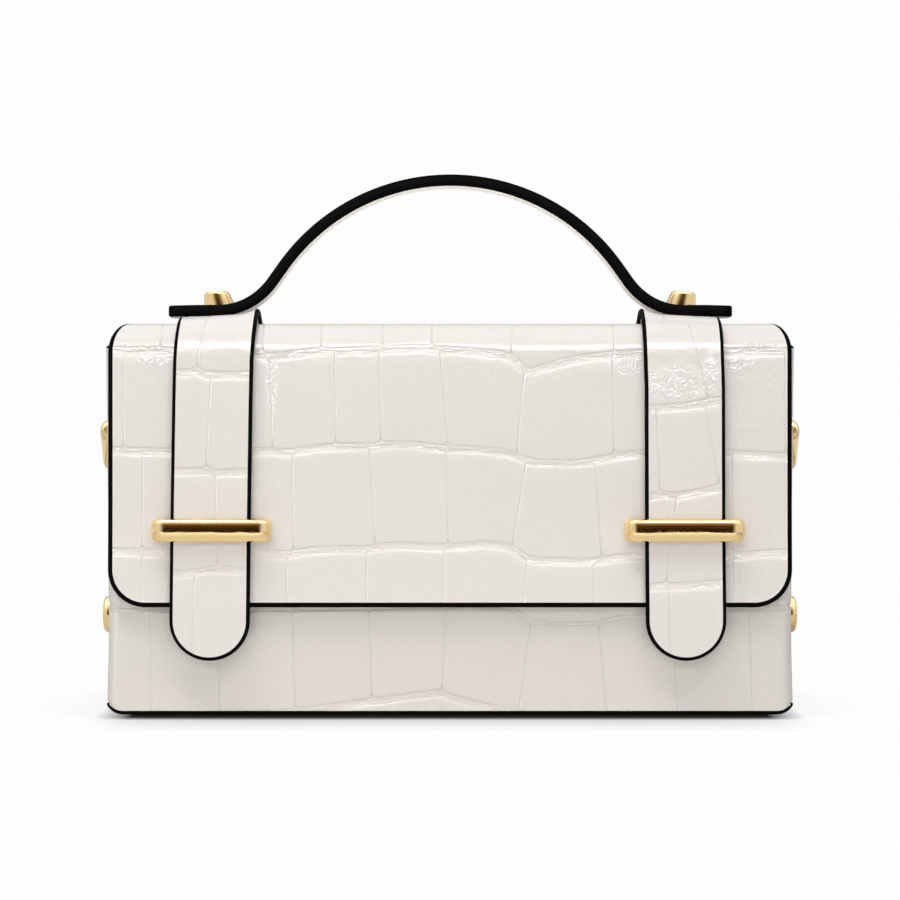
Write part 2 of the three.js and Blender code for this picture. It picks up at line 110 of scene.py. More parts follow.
def noise(tree, place, size, detail=2.0, distortion=0.0):
    """A cloudy pattern whose marks are about a size across, in millimetres."""
    return add_node(tree, "ShaderNodeTexNoise", {
        "Vector": place, "Scale": 1 / (size * MM), "Detail": detail, "Distortion": distortion}).outputs["Fac"]


def bump(tree, height, rise, strength, **under):
    """Shades a surface as if a pattern stood up by a rise in millimetres, on top of the shading under it."""
    return add_node(tree, "ShaderNodeBump", {
        "Height": height, "Distance": rise * MM, "Strength": strength, **under}).outputs["Normal"]


def read(data, name, width=1, kind=np.float64):
    """Reads one property of every vertex, loop or face as an array."""
    values = np.empty(len(data) * width, kind)
    data.foreach_get(name, values)
    return values.reshape(-1, width) if width > 1 else values


def keep_values(mesh, name, values):
    """Keeps one number for each vertex on the mesh, which extruded vertices copy."""
    layer = mesh.attributes.get(name) or mesh.attributes.new(name, "FLOAT", "POINT")
    layer.data.foreach_set("value", values.astype(np.float32))


def sheet_rows(length, corners, first_turns, rim, stops):
    """Rows of a flat sheet from its front end to its tail: how far along each lies, how far its ends fall
    short of the full half width at a corner, which way they face, and how much it bows with a round tip."""
    ends = []
    for corner, first in zip(corners, first_turns):
        radius = corner - rim
        steps = max(LEAST_CORNER_ROWS, int(corner * CORNER_ROWS_PER_MM))
        turns = np.linspace(first, math.pi / 2, steps)
        bow = ((math.pi / 2 - turns) / (math.pi / 2 - first)) ** 2 if first > 0 else 0 * turns
        ends.append(np.stack([
            corner - radius * np.cos(turns), radius * (1 - np.sin(turns)), np.sin(turns), -np.cos(turns), bow,
        ], axis=1))
    front, tail = ends
    tail = tail[::-1] * [-1, 1, 1, -1, 1] + [length, 0, 0, 0, 0]
    middle = []
    place = front[-1, 0]
    for stop, step in stops:
        reach = min(stop, tail[0, 0])
        count = max(1, round((reach - place) / step))
        middle += list(np.linspace(place, reach, count + 1)[1:])
        place = reach
    straight = np.array([[along, 0, 1, 0, 0] for along in middle[:-1]])
    return np.concatenate([front, straight, tail])


def even(half):
    """A sheet of one width: its half width at any distance along it."""
    return lambda along: half + 0 * along


def cut_sheet(name, half_at, length, corners, edge, columns, stops, first_turns=(0, 0), closed=False):
    """Cuts a piece of leather out flat: a fine grid for its face, an edge that is rolled round by extruding
    its outline along the profile in edge, and a lining. A closed sheet is joined end to end into a ring."""
    rim = 0 if closed else max(reach for reach, drop in edge)
    rows = sheet_rows(length, corners, first_turns, rim, stops)
    bpy.ops.object.select_all(action="DESELECT")
    last_row = len(rows) - 1
    bpy.ops.mesh.primitive_grid_add(x_subdivisions=columns, y_subdivisions=last_row, size=2)
    piece = bpy.context.object
    piece.name = name
    piece.data.name = name
    mesh = piece.data
    place = read(mesh.vertices, "co", 3)
    share = place[:, 0]
    row = np.rint((place[:, 1] + 1) / 2 * last_row).astype(int)
    along, short, facing_across, facing_along, bow = rows[row].T
    full = half_at(along) - rim
    across = share * (full - short)
    radius = corners[0] - rim
    beyond = np.maximum(0, np.abs(across) - (full - radius))
    along = along - bow * (along - corners[0] + np.sqrt(np.maximum(radius ** 2 - beyond ** 2, 0)))
    at_side = np.abs(share) > 1 - 0.5 / columns
    at_front = row == 0
    at_tail = row == last_row
    facing_across = np.where(at_side, np.sign(share) * facing_across, 0)
    facing_along = np.where(at_side, facing_along, 0)
    tip = np.where(bow > 0, np.sign(across) * beyond / radius, 0)
    facing_across = np.where(at_front & ~at_side, tip, facing_across)
    facing_along = np.where(at_front & ~at_side, -np.sqrt(1 - tip ** 2), facing_along)
    facing_along = np.where(at_tail & ~at_side, 1.0, facing_along)
    if closed:
        facing_across = 0 * across
        facing_along = np.where(at_front, -1.0, np.where(at_tail, 1.0, 0.0))
    side = np.where(at_side & ~at_front & ~at_tail, np.sign(share), 0)
    for label, values in (("across", across), ("along", along), ("facing_across", facing_across),
                          ("facing_along", facing_along), ("side", side)):
        keep_values(mesh, label, values)
    if closed:
        ring = np.stack([np.cos(math.pi * share), np.sin(math.pi * share), along / length], axis=1)
        mesh.vertices.foreach_set("co", ring.ravel())
        bpy.ops.object.mode_set(mode="EDIT")
        bpy.ops.mesh.select_all(action="SELECT")
        bpy.ops.mesh.remove_doubles(threshold=1e-5)
        bpy.ops.object.mode_set(mode="OBJECT")
    else:
        flat = np.stack([across, along, 0 * along], axis=1)
        mesh.vertices.foreach_set("co", flat.ravel())
    face_count = len(mesh.vertices)
    bpy.ops.object.mode_set(mode="EDIT")
    bpy.ops.mesh.select_mode(type="EDGE")
    bpy.ops.mesh.select_all(action="DESELECT")
    bpy.ops.mesh.select_non_manifold(extend=False, use_wire=False, use_multi_face=False,
                                     use_non_contiguous=False, use_verts=False)
    for _ in edge:
        bpy.ops.mesh.extrude_edges_indiv()
    net = bmesh.from_edit_mesh(mesh)
    outline_count = (len(net.verts) - face_count) // len(edge)
    lining_start = len(net.verts) - outline_count
    side_layer = net.verts.layers.float["side"]
    net.verts.index_update()
    for line in net.edges:
        one, two = line.verts
        inner = min(one.index, two.index) >= lining_start
        line.select = inner and (closed or one[side_layer] * two[side_layer] > 0)
    net.select_flush_mode()
    bmesh.update_edit_mesh(mesh)
    bpy.ops.mesh.bridge_edge_loops()
    if not closed:
        bpy.ops.mesh.select_all(action="SELECT")
        bpy.ops.mesh.fill_holes(sides=0)
    bpy.ops.object.mode_set(mode="OBJECT")
    step = np.maximum(0, (np.arange(len(mesh.vertices)) - face_count) // outline_count + 1)
    profile = np.array([(0, 0)] + list(edge), float)
    reach, height = profile[step].T
    values = {label: read(mesh.attributes[label].data, "value", kind=np.float32).astype(float)
              for label in ("across", "along", "facing_across", "facing_along")}
    across = values["across"] + values["facing_across"] * reach
    along = values["along"] + values["facing_along"] * reach
    for label in ("across", "along", "facing_across", "facing_along", "side"):
        mesh.attributes.remove(mesh.attributes[label])
    return {"piece": piece, "across": across, "along": along, "height": height,
            "step": step, "last": len(edge)}


def smooth_faces(crease):
    """Turns the active piece's faces outwards and shades it smooth, but for edges sharper than a crease."""
    bpy.ops.object.mode_set(mode="EDIT")
    bpy.ops.mesh.select_all(action="SELECT")
    bpy.ops.mesh.normals_make_consistent(inside=False)
    bpy.ops.object.mode_set(mode="OBJECT")
    bpy.ops.object.shade_smooth_by_angle(angle=math.radians(crease))


def fold_sheet(sheet, fold, materials):
    """Bends the flat sheet into its place and gives its face, its edge and its lining their materials."""
    piece, step = sheet["piece"], sheet["step"]
    mesh = piece.data
    x, y, z = fold(sheet["across"], sheet["along"], sheet["height"])
    mesh.vertices.foreach_set("co", (np.stack([x, y, z], axis=1) * MM).ravel())
    corners = read(mesh.loops, "vertex_index", kind=np.int32)
    starts = read(mesh.polygons, "loop_start", kind=np.int32)
    lowest = np.minimum.reduceat(step[corners], starts)
    highest = np.maximum.reduceat(step[corners], starts)
    finish = np.where(highest == 0, 0, np.where(lowest == sheet["last"], 2, 1))
    mesh.polygons.foreach_set("material_index", finish.astype(np.int32))
    for material in materials:
        mesh.materials.append(material)
    flat = mesh.uv_layers.new(name="flat")
    pattern = np.stack([sheet["across"][corners], sheet["along"][corners]], axis=1) * MM
    flat.data.foreach_set("uv", pattern.ravel())
    mesh.update()
    smooth_faces(LEATHER_CREASE)
    return piece


def along_path(points, along):
    """Follows a line of points for a distance; gives the place there and the direction across the line."""
    points = np.array(points, float)
    steps = np.diff(points, axis=0)
    lengths = np.hypot(*steps.T)
    marks = np.concatenate([[0], np.cumsum(lengths)])
    turns = np.unwrap(np.arctan2(steps[:, 1], steps[:, 0]))
    middles = (marks[1:] + marks[:-1]) / 2
    turn = np.interp(along, middles, turns)
    first = np.interp(along, marks, points[:, 0])
    second = np.interp(along, marks, points[:, 1])
    before, after = np.minimum(along, 0), np.maximum(along - marks[-1], 0)
    first = first + (before + after) * np.cos(turn)
    second = second + (before + after) * np.sin(turn)
    return first, second, -np.sin(turn), np.cos(turn)


def path_length(points):
    """How long a line of points is."""
    return float(np.hypot(*np.diff(np.array(points, float), axis=0).T).sum())


def plain_finish(name, colour, roughness, shine, size, detail, rise, strength):
    """A matt finish of one colour, with faint marks of a size and a rise in millimetres."""
    material, tree, shader = new_material(
        name, Base_Color=linear(colour), Roughness=roughness, Specular_IOR_Level=shine)
    place = add_node(tree, "ShaderNodeTexCoord", {}).outputs["Object"]
    marks = noise(tree, place, size, detail)
    tree.links.new(bump(tree, marks, rise, strength), shader.inputs["Normal"])
    return material


# Smooth calf leather, dyed off-white and left matt: the plain back of every sheet
LINING = plain_finish("smooth_calf_leather", LINING_COLOUR, roughness=0.6, shine=0.1,
                      size=0.5, detail=2.0, rise=0.006, strength=0.5)
# Acrylic edge paint, rolled on in coats and heat-set: deep black, with slow waves from the roller
EDGE_PAINT = plain_finish("black_edge_paint", PAINT_COLOUR, roughness=0.5, shine=0.02,
                          size=2.5, detail=3.0, rise=0.12, strength=0.6)
BASE_END = [(BASE_FLAT_HALF + BASE_CURVE * math.sin(turn), BASE_CURVE * (1 - math.cos(turn)))
            for turn in np.linspace(0, BASE_TURN, 12)]
BASE_PATH = [(-x, z) for x, z in reversed(BASE_END)] + BASE_END


def base_fold(across, along, height):
    """The base lies flat and curls up at both ends, where it is pared thinner."""
    x, z, side_x, side_z = along_path(BASE_PATH, along)
    pared = 1 - BASE_PARED * np.clip((np.abs(x) - BASE_FLAT_HALF) / BASE_CURVE, 0, 1)
    return x - side_x * height * pared, across, z - side_z * height * pared


BASE_LENGTH = path_length(BASE_PATH)
# The sheet's rows, as (how far along they go, how far apart they are): close only where the ends curl
BASE_ROWS = [(9, 0.6), (BASE_LENGTH - 9, 6), (BASE_LENGTH, 0.6)]
base_sheet = cut_sheet("base_strip", even(BODY_HALF_DEPTH), BASE_LENGTH, (BASE_CORNER, BASE_CORNER),
                       BASE_EDGE, BASE_COLUMNS, BASE_ROWS)
base = fold_sheet(base_sheet, base_fold, [LINING, EDGE_PAINT, LINING])
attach(base, "root")
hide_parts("base")


# The wall
# One strip of stiff leather that goes round the front, the sides and the back, joined behind. It is embossed
# with large croc scales by a heated plate, then glazed. Its top edge is painted black.
WALL_TOP = 118.2
WALL_BOTTOM = 1.2
WALL_TUCK = 0.3
WALL_FOOT = 20
WALL_EDGE = [(0.5, -0.12), (0.95, -0.55), (1.05, -1.1), (0.9, -1.7), (0.4, -2.1), (0.0, -2.2)]
WALL_HALF_WIDTHS = [(0.0, 111.0), (25.0, 110.5), (70.0, 110.8), (117.0, 111.4), (120.0, 111.4)]
WALL_HALF_WIDTH = 111.0
WALL_CORNER = 4.0
LEATHER_COLOUR = "#ece6e0"
# The wall is the flap's leather painted darker: painted shade for the light the flap keeps off the body
WALL_SHADED_COLOUR = "#e5dfd8"
# A tan grey mixed into the deepest grooves and lines as painted shade
GROOVE_SHADE_COLOUR = "#cfc3b4"
GROOVE_HALF = 1.15
GROOVE_DEPTH = 0.14
SCALE_ROUNDING = 3.5
DOME_DEPTH = 0.11
DOME_REACH = 2.0
SIDE_LINE_STEEPNESS = 1.5
SIDE_LINE_LIFT = 0.4
SIDE_LINE_LEAN = 1.5
GROOVE_SLOPE = (-0.6, 0.7)
GROOVE_STEP = 8
GROOVE_WANDER = 0.9
SLOPE_STEP = 0.6
PRESSING_FADE = (1.0, 2.4)
FAR = 1e3
WALL_COLUMNS = 760
WALL_RIM = 1.0
PAST_RIM = 5
CHART_REACH = 50
WALL_SEED = 7
# Scales that are made up, as shares of their width: where the first one ends, the least last one, and the rest
FIRST_SCALE = (0.3, 0.8)
LAST_SCALE = 0.3
OTHER_SCALES = (0.75, 1.25)
# How far to each side the wall's front is charted from the photo, and what is made up round the rest of it
CHARTED_GROOVES = 120
CHARTED_LINES = 113
HIDDEN_GROOVES = (64, 94, 124)
SCALE_WIDTH = 25
HIDDEN_SCALE_WIDTH = 26
# The sizes of the fine marks in the leather's finish, and how high they and its glaze stand
CREASE_LENGTH = 7.0
CREASE_WIDTH = 1.9
CREASE_FOLD = 0.12
PORE_SIZE = 0.7
RIPPLE_SIZE = 3.0
WRINKLE_SIZE = 2.6
GRAIN_SIZE = 0.8
MARK_HEIGHT = 0.2
GLAZE_HEIGHT = 0.065
CREASE_STEEPNESS = 8.0
WRINKLE_STEEPNESS = 7.0
FINE_LINE_LIFT = 0.2
# How the finish changes away from a groove or a line, as (from, to, value there at first, value at last)
CREASED = (-0.5, 0.4, 1.0, 0.0)
VALLEY = (0.0, 0.42, 0.0, 1.0)
LIP = (0.5, 1.5, 0.35, 0.0)
RIM = (-0.15, 0.4, 0.0, 1.0)
# Painted shade: how much of the groove colour is mixed in near a groove or a line
PAINTED_GROOVE_SHADE = (-0.3, 0.3, 0.12, 0.0)
# How rough the leather is, by how deep its pores are, in the same columns
LEATHER_SHEEN = (0.3, 0.7, 0.26, 0.36)
# Grooves between rows of scales on the front, as places (from the middle, up from the floor)
WALL_LOW_GROOVE = [
    (-110.5, -2.4), (-49.8, 0.8), (-35.3, 2.6), (-25.0, 4.1), (-12.7, 5.8), (-3.1, 6.9), (1.5, 5.0),
    (11.8, 2.3), (26.0, -0.5), (110.8, -2.4),
]
WALL_HIGH_GROOVE = [
    (-110.5, 34.0), (-51.4, 34.5), (-3.1, 35.6), (16.3, 35.6), (20.2, 34.5), (24.0, 32.1), (26.6, 30.4),
    (30.8, 30.2), (37.6, 30.1), (45.0, 29.9), (48.5, 30.2), (52.4, 31.4), (56.6, 32.1), (63.7, 32.4),
    (77.6, 34.0), (96.9, 34.2), (110.8, 34.7),
]
# Lines between neighbouring scales in one row, as distances from the middle at the row's bottom and top
WALL_SIDE_LINES = [
    (-96.3, -97.2), (-74.1, -75.3), (-49.8, -51.2), (-25.0, -26.2), (-2.7, -1.3), (22.1, 26.5),
    (50.6, 48.0), (73.4, 72.4), (97.7, 96.9),
]


def ease(value, low, high):
    """Goes smoothly from 0 at low to 1 at high."""
    share = np.clip((value - low) / (high - low), 0, 1)
    return share * share * (3 - 2 * share)


def scale_lines(chance, start, end, width):
    """Lines between scales for a row the photo doesn't show: about a width apart, each leaning a little."""
    lines = []
    place = start + width * chance.uniform(*FIRST_SCALE)
    while place < end - width * LAST_SCALE:
        lean = SIDE_LINE_LEAN
        lines.append((place + chance.uniform(-lean, lean), place + chance.uniform(-lean, lean)))
        place += width * chance.uniform(*OTHER_SCALES)
    return lines


def groove_line(chance, start, end, height):
    """A groove between rows that the photo doesn't show: a slow wave about one height."""
    places = np.arange(start, end + GROOVE_STEP, GROOVE_STEP)
    return [(float(place), height + chance.uniform(-GROOVE_WANDER, GROOVE_WANDER)) for place in places]


def scale_chart(across, along, grooves, side_lines):
    """For each point, how far it lies inside the nearest groove's edge, and how far to one side of the
    nearest line between scales. The side alternates from line to line, so it runs smoothly between them."""
    middles = []
    to_groove = np.full(across.shape, FAR)
    for groove in grooves:
        places, heights = np.array(groove).T
        middle = np.interp(across, places, heights)
        before = np.interp(across - SLOPE_STEP, places, heights)
        after = np.interp(across + SLOPE_STEP, places, heights)
        lean = 1 / np.hypot(1, (after - before) / (2 * SLOPE_STEP))
        to_groove = np.minimum(to_groove, np.abs(along - middle) * lean - GROOVE_HALF)
        middles.append(middle)
    row = sum((along > middle).astype(int) for middle in middles)
    to_side = np.full(across.shape, FAR)
    for number, lines in enumerate(side_lines, start=1):
        inside = row == number
        low, high = middles[number - 1][inside], middles[number][inside]
        climb = (along[inside] - low) / (high - low)
        nearest = np.full(climb.shape, FAR)
        for index, (bottom, top) in enumerate(lines):
            offset = (across[inside] - bottom - (top - bottom) * climb) * (-1) ** index
            nearest = np.where(np.abs(offset) < np.abs(nearest), offset, nearest)
        to_side[inside] = nearest
    return to_groove, to_side


def emboss(sheet, grooves, side_lines, half_at, length, patches=()):
    """Presses the scales into the sheet's face: grooves between the rows, finer lines between neighbours, and
    a low dome on each scale. The pressing fades out at the painted edge. Patches of fine wrinkles are marked
    for the finish, as (across, along, half width, half height)."""
    face = sheet["step"] == 0
    across, along = sheet["across"], sheet["along"]
    to_groove, to_side = scale_chart(across, along, grooves, side_lines)
    to_line = np.abs(to_side) * SIDE_LINE_STEEPNESS + SIDE_LINE_LIFT
    near = np.maximum(SCALE_ROUNDING - np.abs(to_line - to_groove), 0) / SCALE_ROUNDING
    inside = np.minimum(to_line, to_groove) - near ** 2 * SCALE_ROUNDING / 4
    relief = -GROOVE_DEPTH * (1 - ease(inside, *GROOVE_SLOPE))
    relief -= DOME_DEPTH * np.exp(-np.maximum(inside, 0) / DOME_REACH)
    from_edge = np.minimum(half_at(along) - np.abs(across), np.minimum(along, length - along))
    sheet["height"] += np.where(face, relief * ease(from_edge, *PRESSING_FADE), 0)
    mesh = sheet["piece"].data
    keep_values(mesh, "scale_edge", np.minimum(to_groove, CHART_REACH))
    keep_values(mesh, "scale_side", np.clip(to_side, -CHART_REACH, CHART_REACH))
    wrinkled = np.zeros(across.shape)
    for middle, height, half_width, half_height in patches:
        away = ((across - middle) / half_width) ** 2 + ((along - height) / half_height) ** 2
        wrinkled = np.maximum(wrinkled, np.exp(-away ** 2 / 2))
    keep_values(mesh, "wrinkled", wrinkled)


def math_of(tree, operation, *values):
    """The result of a Math node on its values."""
    return add_node(tree, "ShaderNodeMath", dict(enumerate(values)), operation=operation).outputs[0]


def spread(tree, value, low, high, start=0.0, end=1.0, kind="LINEAR"):
    """A value that goes from start to end while the given one goes from low to high."""
    return add_node(tree, "ShaderNodeMapRange", {
        "Value": value, "From Min": low, "From Max": high, "To Min": start, "To Max": end,
    }, interpolation_type=kind).outputs["Result"]


def mixed(tree, share, first, second):
    """The first colour where the share is 0, the second where it is 1."""
    return add_node(tree, "ShaderNodeMix", {0: share, 6: first, 7: second}, data_type="RGBA").outputs[2]


def croc_leather(name, colour):
    """Calf leather pressed with croc scales and glazed: warm off-white, glossy on the domes, with fine
    creases along the grooves, a tan grey painted shade in the deepest lines and faint pores."""
    material, tree, shader = new_material(name, Specular_IOR_Level=0.5, Coat_Weight=0.6, Coat_Roughness=0.06)
    edge, side, wrinkled = (
        add_node(tree, "ShaderNodeAttribute", {}, attribute_name=kept).outputs["Fac"]
        for kept in ("scale_edge", "scale_side", "wrinkled"))
    aside = math_of(tree, "ABSOLUTE", side)
    to_line = math_of(tree, "MULTIPLY_ADD", aside, SIDE_LINE_STEEPNESS, FINE_LINE_LIFT)
    inside = math_of(tree, "SMOOTH_MIN", edge, to_line, SCALE_ROUNDING)
    flat = add_node(tree, "ShaderNodeUVMap", {}, uv_map="flat").outputs["UV"]
    stretched = add_node(tree, "ShaderNodeMapping", {
        "Vector": flat, "Scale": (1 / (CREASE_LENGTH * MM), 1 / (CREASE_WIDTH * MM), 1)})
    folds = add_node(tree, "ShaderNodeTexNoise", {
        "Vector": stretched.outputs["Vector"], "Scale": 1.0, "Detail": 2.0, "Distortion": 0.5}).outputs["Fac"]
    creases = math_of(tree, "MULTIPLY", math_of(tree, "PINGPONG", folds, CREASE_FOLD), CREASE_STEEPNESS)
    creases = math_of(tree, "MULTIPLY", creases, spread(tree, inside, *CREASED))
    wrinkles = noise(tree, flat, WRINKLE_SIZE, detail=1.0, distortion=0.8)
    wrinkles = math_of(tree, "MULTIPLY", math_of(tree, "PINGPONG", wrinkles, CREASE_FOLD), WRINKLE_STEEPNESS)
    pores = noise(tree, flat, PORE_SIZE)
    ripples = noise(tree, flat, RIPPLE_SIZE, detail=3.0)
    valley = spread(tree, aside, *VALLEY, kind="SMOOTHSTEP")
    lip = spread(tree, aside, *LIP, kind="SMOOTHSTEP")
    rim = spread(tree, inside, *RIM, kind="SMOOTHSTEP")
    height = math_of(tree, "ADD", rim, lip)
    for mark, share in ((creases, 0.45), (pores, 0.03), (valley, 0.6), (ripples, 1.0), (wrinkles, wrinkled)):
        height = math_of(tree, "MULTIPLY_ADD", mark, share, height)
    raised = bump(tree, height, MARK_HEIGHT, strength=1.0)
    tree.links.new(raised, shader.inputs["Normal"])
    glaze = bump(tree, noise(tree, flat, GRAIN_SIZE), GLAZE_HEIGHT, strength=1.0, Normal=raised)
    tree.links.new(glaze, shader.inputs["Coat Normal"])
    # Painted shade: the deepest grooves and lines are mixed towards the darker groove colour
    painted_groove_shade = spread(tree, inside, *PAINTED_GROOVE_SHADE)
    groove_shaded_colour = mixed(tree, painted_groove_shade, linear(colour), linear(GROOVE_SHADE_COLOUR))
    tree.links.new(groove_shaded_colour, shader.inputs["Base Color"])
    tree.links.new(spread(tree, pores, *LEATHER_SHEEN), shader.inputs["Roughness"])
    return material


WALL_STRAIGHT = WALL_HALF_WIDTH - WALL_CORNER
WALL_SIDE_STRAIGHT = BODY_HALF_DEPTH - WALL_CORNER


def wall_ring():
    """The wall's outline from above, from the middle of the back round by the left side and on."""
    points = [(0.0, BODY_HALF_DEPTH)]
    for middle_x, middle_y, first in ((-1, 1, 90), (-1, -1, 180), (1, -1, 270), (1, 1, 0)):
        for turn in range(0, 91, 10):
            angle = math.radians(first + turn)
            points.append((middle_x * WALL_STRAIGHT + WALL_CORNER * math.cos(angle),
                           middle_y * WALL_SIDE_STRAIGHT + WALL_CORNER * math.sin(angle)))
    points.append((0.0, BODY_HALF_DEPTH))
    return points


WALL_PATH = wall_ring()
WALL_GIRTH = path_length(WALL_PATH)
WALL_LENGTH = WALL_TOP - WALL_BOTTOM
WALL_ROWS = [(36, 0.7), (WALL_LENGTH, 1.5)]


def wall_fold(across, along, height):
    """The wall goes round its ring, narrower low down, with its bottom edge tucked in on the base."""
    x, y, side_x, side_y = along_path(WALL_PATH, across + WALL_GIRTH / 2)
    z = WALL_BOTTOM + np.where(along < 0, along * WALL_TUCK, along)
    heights, widths = np.array(WALL_HALF_WIDTHS).T
    x = x * np.interp(z, heights, widths) / WALL_HALF_WIDTH
    x = x - side_x * height
    y = y - side_y * height
    beyond = np.clip(np.abs(x) - BASE_FLAT_HALF, 0, BASE_CURVE)
    foot = BASE_CURVE - np.sqrt(BASE_CURVE ** 2 - beyond ** 2)
    return x, y, z + foot * (1 - ease(along, 0, WALL_FOOT))


# A darker copy of the embossed leather, as painted shade under the flap
WALL_LEATHER = croc_leather("croc_embossed_wall_leather_painted_shade", WALL_SHADED_COLOUR)
chance = random.Random(WALL_SEED)
HALF_GIRTH = WALL_GIRTH / 2
wall_edges = []
for line in (WALL_LOW_GROOVE, WALL_HIGH_GROOVE):
    left = groove_line(chance, -HALF_GIRTH, -CHARTED_GROOVES, line[0][1])
    right = groove_line(chance, CHARTED_GROOVES, HALF_GIRTH, line[-1][1])
    wall_edges.append(left + line + right)
for height in HIDDEN_GROOVES:
    wall_edges.append(groove_line(chance, -HALF_GIRTH, HALF_GIRTH, height))
wall_grooves = [[(place, height - WALL_BOTTOM) for place, height in line] for line in wall_edges]
left_lines = scale_lines(chance, -HALF_GIRTH, -CHARTED_LINES, SCALE_WIDTH)
around = left_lines + WALL_SIDE_LINES + scale_lines(chance, CHARTED_LINES, HALF_GIRTH, SCALE_WIDTH)
wall_lines = [around]
for _ in HIDDEN_GROOVES:
    wall_lines.append(scale_lines(chance, -HALF_GIRTH, HALF_GIRTH, HIDDEN_SCALE_WIDTH))
wall_sheet = cut_sheet("wall", even(HALF_GIRTH), WALL_LENGTH, (WALL_RIM, WALL_RIM), WALL_EDGE,
                       WALL_COLUMNS, WALL_ROWS, closed=True)
# The pressing goes on past the joint behind and up to the top edge, so it has no rim to fade at there
emboss(wall_sheet, wall_grooves, wall_lines, even(HALF_GIRTH + PAST_RIM), WALL_LENGTH + PAST_RIM)
wall = fold_sheet(wall_sheet, wall_fold, [WALL_LEATHER, EDGE_PAINT, LINING])
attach(wall, "root")
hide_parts("body_wall")


# The flap
# A stiff sheet of the same embossed leather, folded over the front, the top and a little of the back, with
# round corners and a bead of black paint round its cut edge.
FLAP_FACE = 42.7
FLAP_TOP = 126.3
FLAP_BOTTOM = 34.75
FLAP_TAIL = 92.0
FLAP_HALF = 110.0
FLAP_TOP_HALF = 105.0
FLAP_CORNER = 12.2
FLAP_SAG = 1.0
FLARE = 1.4
FLARE_TOP = 75.0
SHOULDER_Y = 33.0
SHOULDER_Z = 116.6
FLAP_SAG_RISE = 120
FLAP_SAG_FADE = (8, 30)
FLAP_COLUMNS = 330
FLAP_SEED = 11
FLAP_REACH = 112
FLAP_LOW_GROOVE = -14
FLAP_HIDDEN_GROOVES = (113, 144, 174, 212)
FLAP_SCALE_WIDTH = 24
FLAP_EDGE = [
    (0.2, 0.05), (0.7, 0.08), (1.2, -0.15), (1.5, -0.6), (1.6, -1.2), (1.45, -1.9), (1.0, -2.35), (0.0, -2.4),
]
# Grooves on the front, as places (from the middle, up from the flap's bottom), and the lines between scales
FLAP_GROOVES = [
    [(-110.1, 18.0), (-93.0, 17.4), (-62.5, 17.1), (-51.3, 16.9), (-44.2, 18.3), (-33.9, 18.6),
     (-26.8, 18.5), (-20.7, 19.6), (-12.7, 19.7), (-5.0, 19.1), (1.8, 19.3), (9.8, 20.2), (17.2, 19.8),
     (21.4, 17.9), (24.9, 15.5), (30.4, 14.8), (36.5, 14.7), (41.9, 14.4), (48.4, 15.0), (55.1, 15.9),
     (62.2, 16.7), (89.2, 16.4), (110.4, 17.7)],
    [(-110.1, 50.5), (-93.0, 49.9), (-62.5, 50.2), (-51.3, 49.7), (-44.2, 51.0), (-35.2, 51.6),
     (-25.6, 51.6), (-19.1, 52.3), (-11.1, 52.1), (-3.1, 51.1), (9.8, 50.5), (17.8, 49.7), (22.7, 47.9),
     (27.2, 46.4), (34.6, 46.2), (41.9, 46.3), (48.4, 47.4), (54.8, 48.7), (62.2, 49.5), (89.2, 49.4),
     (110.4, 48.2)],
    [(-110.1, 82.6), (-93.0, 82.5), (-62.5, 81.5), (-58.3, 80.5), (-52.2, 81.0), (-44.2, 82.1),
     (-33.9, 82.3), (-23.6, 82.8), (-11.4, 83.4), (1.8, 82.6), (9.8, 82.0), (16.9, 81.2), (20.7, 79.4),
     (23.9, 76.4), (26.2, 75.7), (30.4, 77.0), (36.5, 78.9), (42.9, 80.2), (49.0, 80.8), (54.2, 81.3),
     (62.2, 81.7), (88.2, 82.1), (110.4, 82.3)],
]
FLAP_SIDE_LINES = [
    [(-98.8, -98.8), (-75.4, -75.7), (-51.9, -52.5), (-26.5, -26.8), (-1.9, -2.1), (22.3, 24.9),
     (46.4, 46.0), (68.6, 68.3), (91.0, 90.8)],
    [(-98.8, -98.8), (-73.1, -75.0), (-50.2, -50.6), (-23.9, -26.0), (-0.5, -1.1), (19.8, 24.7),
     (48.9, 46.7), (70.2, 67.7), (90.8, 90.5)],
    [(-104.9, -104.9), (-81.2, -81.2), (-56.9, -58.2), (-36.7, -37.0), (-22.1, -22.8), (-0.6, -3.2),
     (21.4, 24.1), (52.8, 52.2), (80.5, 80.5), (107.8, 107.8)],
    [(-93.0, -93.0), (-60.3, -60.3), (-41.4, -41.4), (-21.7, -21.7), (-5.8, -5.8), (19.8, 20.6),
     (52.8, 52.5), (80.5, 80.5)],
]
# Patches of fine wrinkles, as (across, along, half width, half height)
FLAP_PATCHES = [
    (57.9, 77.6, 4.8, 2.9),
    (92.3, 78.3, 4.5, 1.9),
    (-94.9, 79.5, 5.0, 1.4),
    (-57.2, 71.8, 1.6, 8.0),
    (99.0, 84.0, 6.0, 1.4),
    (-100.0, 84.0, 6.0, 1.3),
]


def fold_over(bottom, face, top, tail):
    """The line from the front's bottom up, round the shoulder, over the top and down to the tail behind."""
    points = [(-face, bottom)]
    for side, angles in ((-1, range(0, 91, 6)), (1, range(90, -1, -6))):
        for angle in angles:
            turn = math.radians(angle)
            points.append((side * (SHOULDER_Y + (face - SHOULDER_Y) * math.cos(turn)),
                           SHOULDER_Z + (top - SHOULDER_Z) * math.sin(turn)))
    return points + [(face, tail)]


FLAP_PATH = fold_over(FLAP_BOTTOM, FLAP_FACE, FLAP_TOP, FLAP_TAIL)
FLAP_LENGTH = path_length(FLAP_PATH)
FLAP_ROWS = [(98, 0.66), (FLAP_LENGTH, 1.2)]


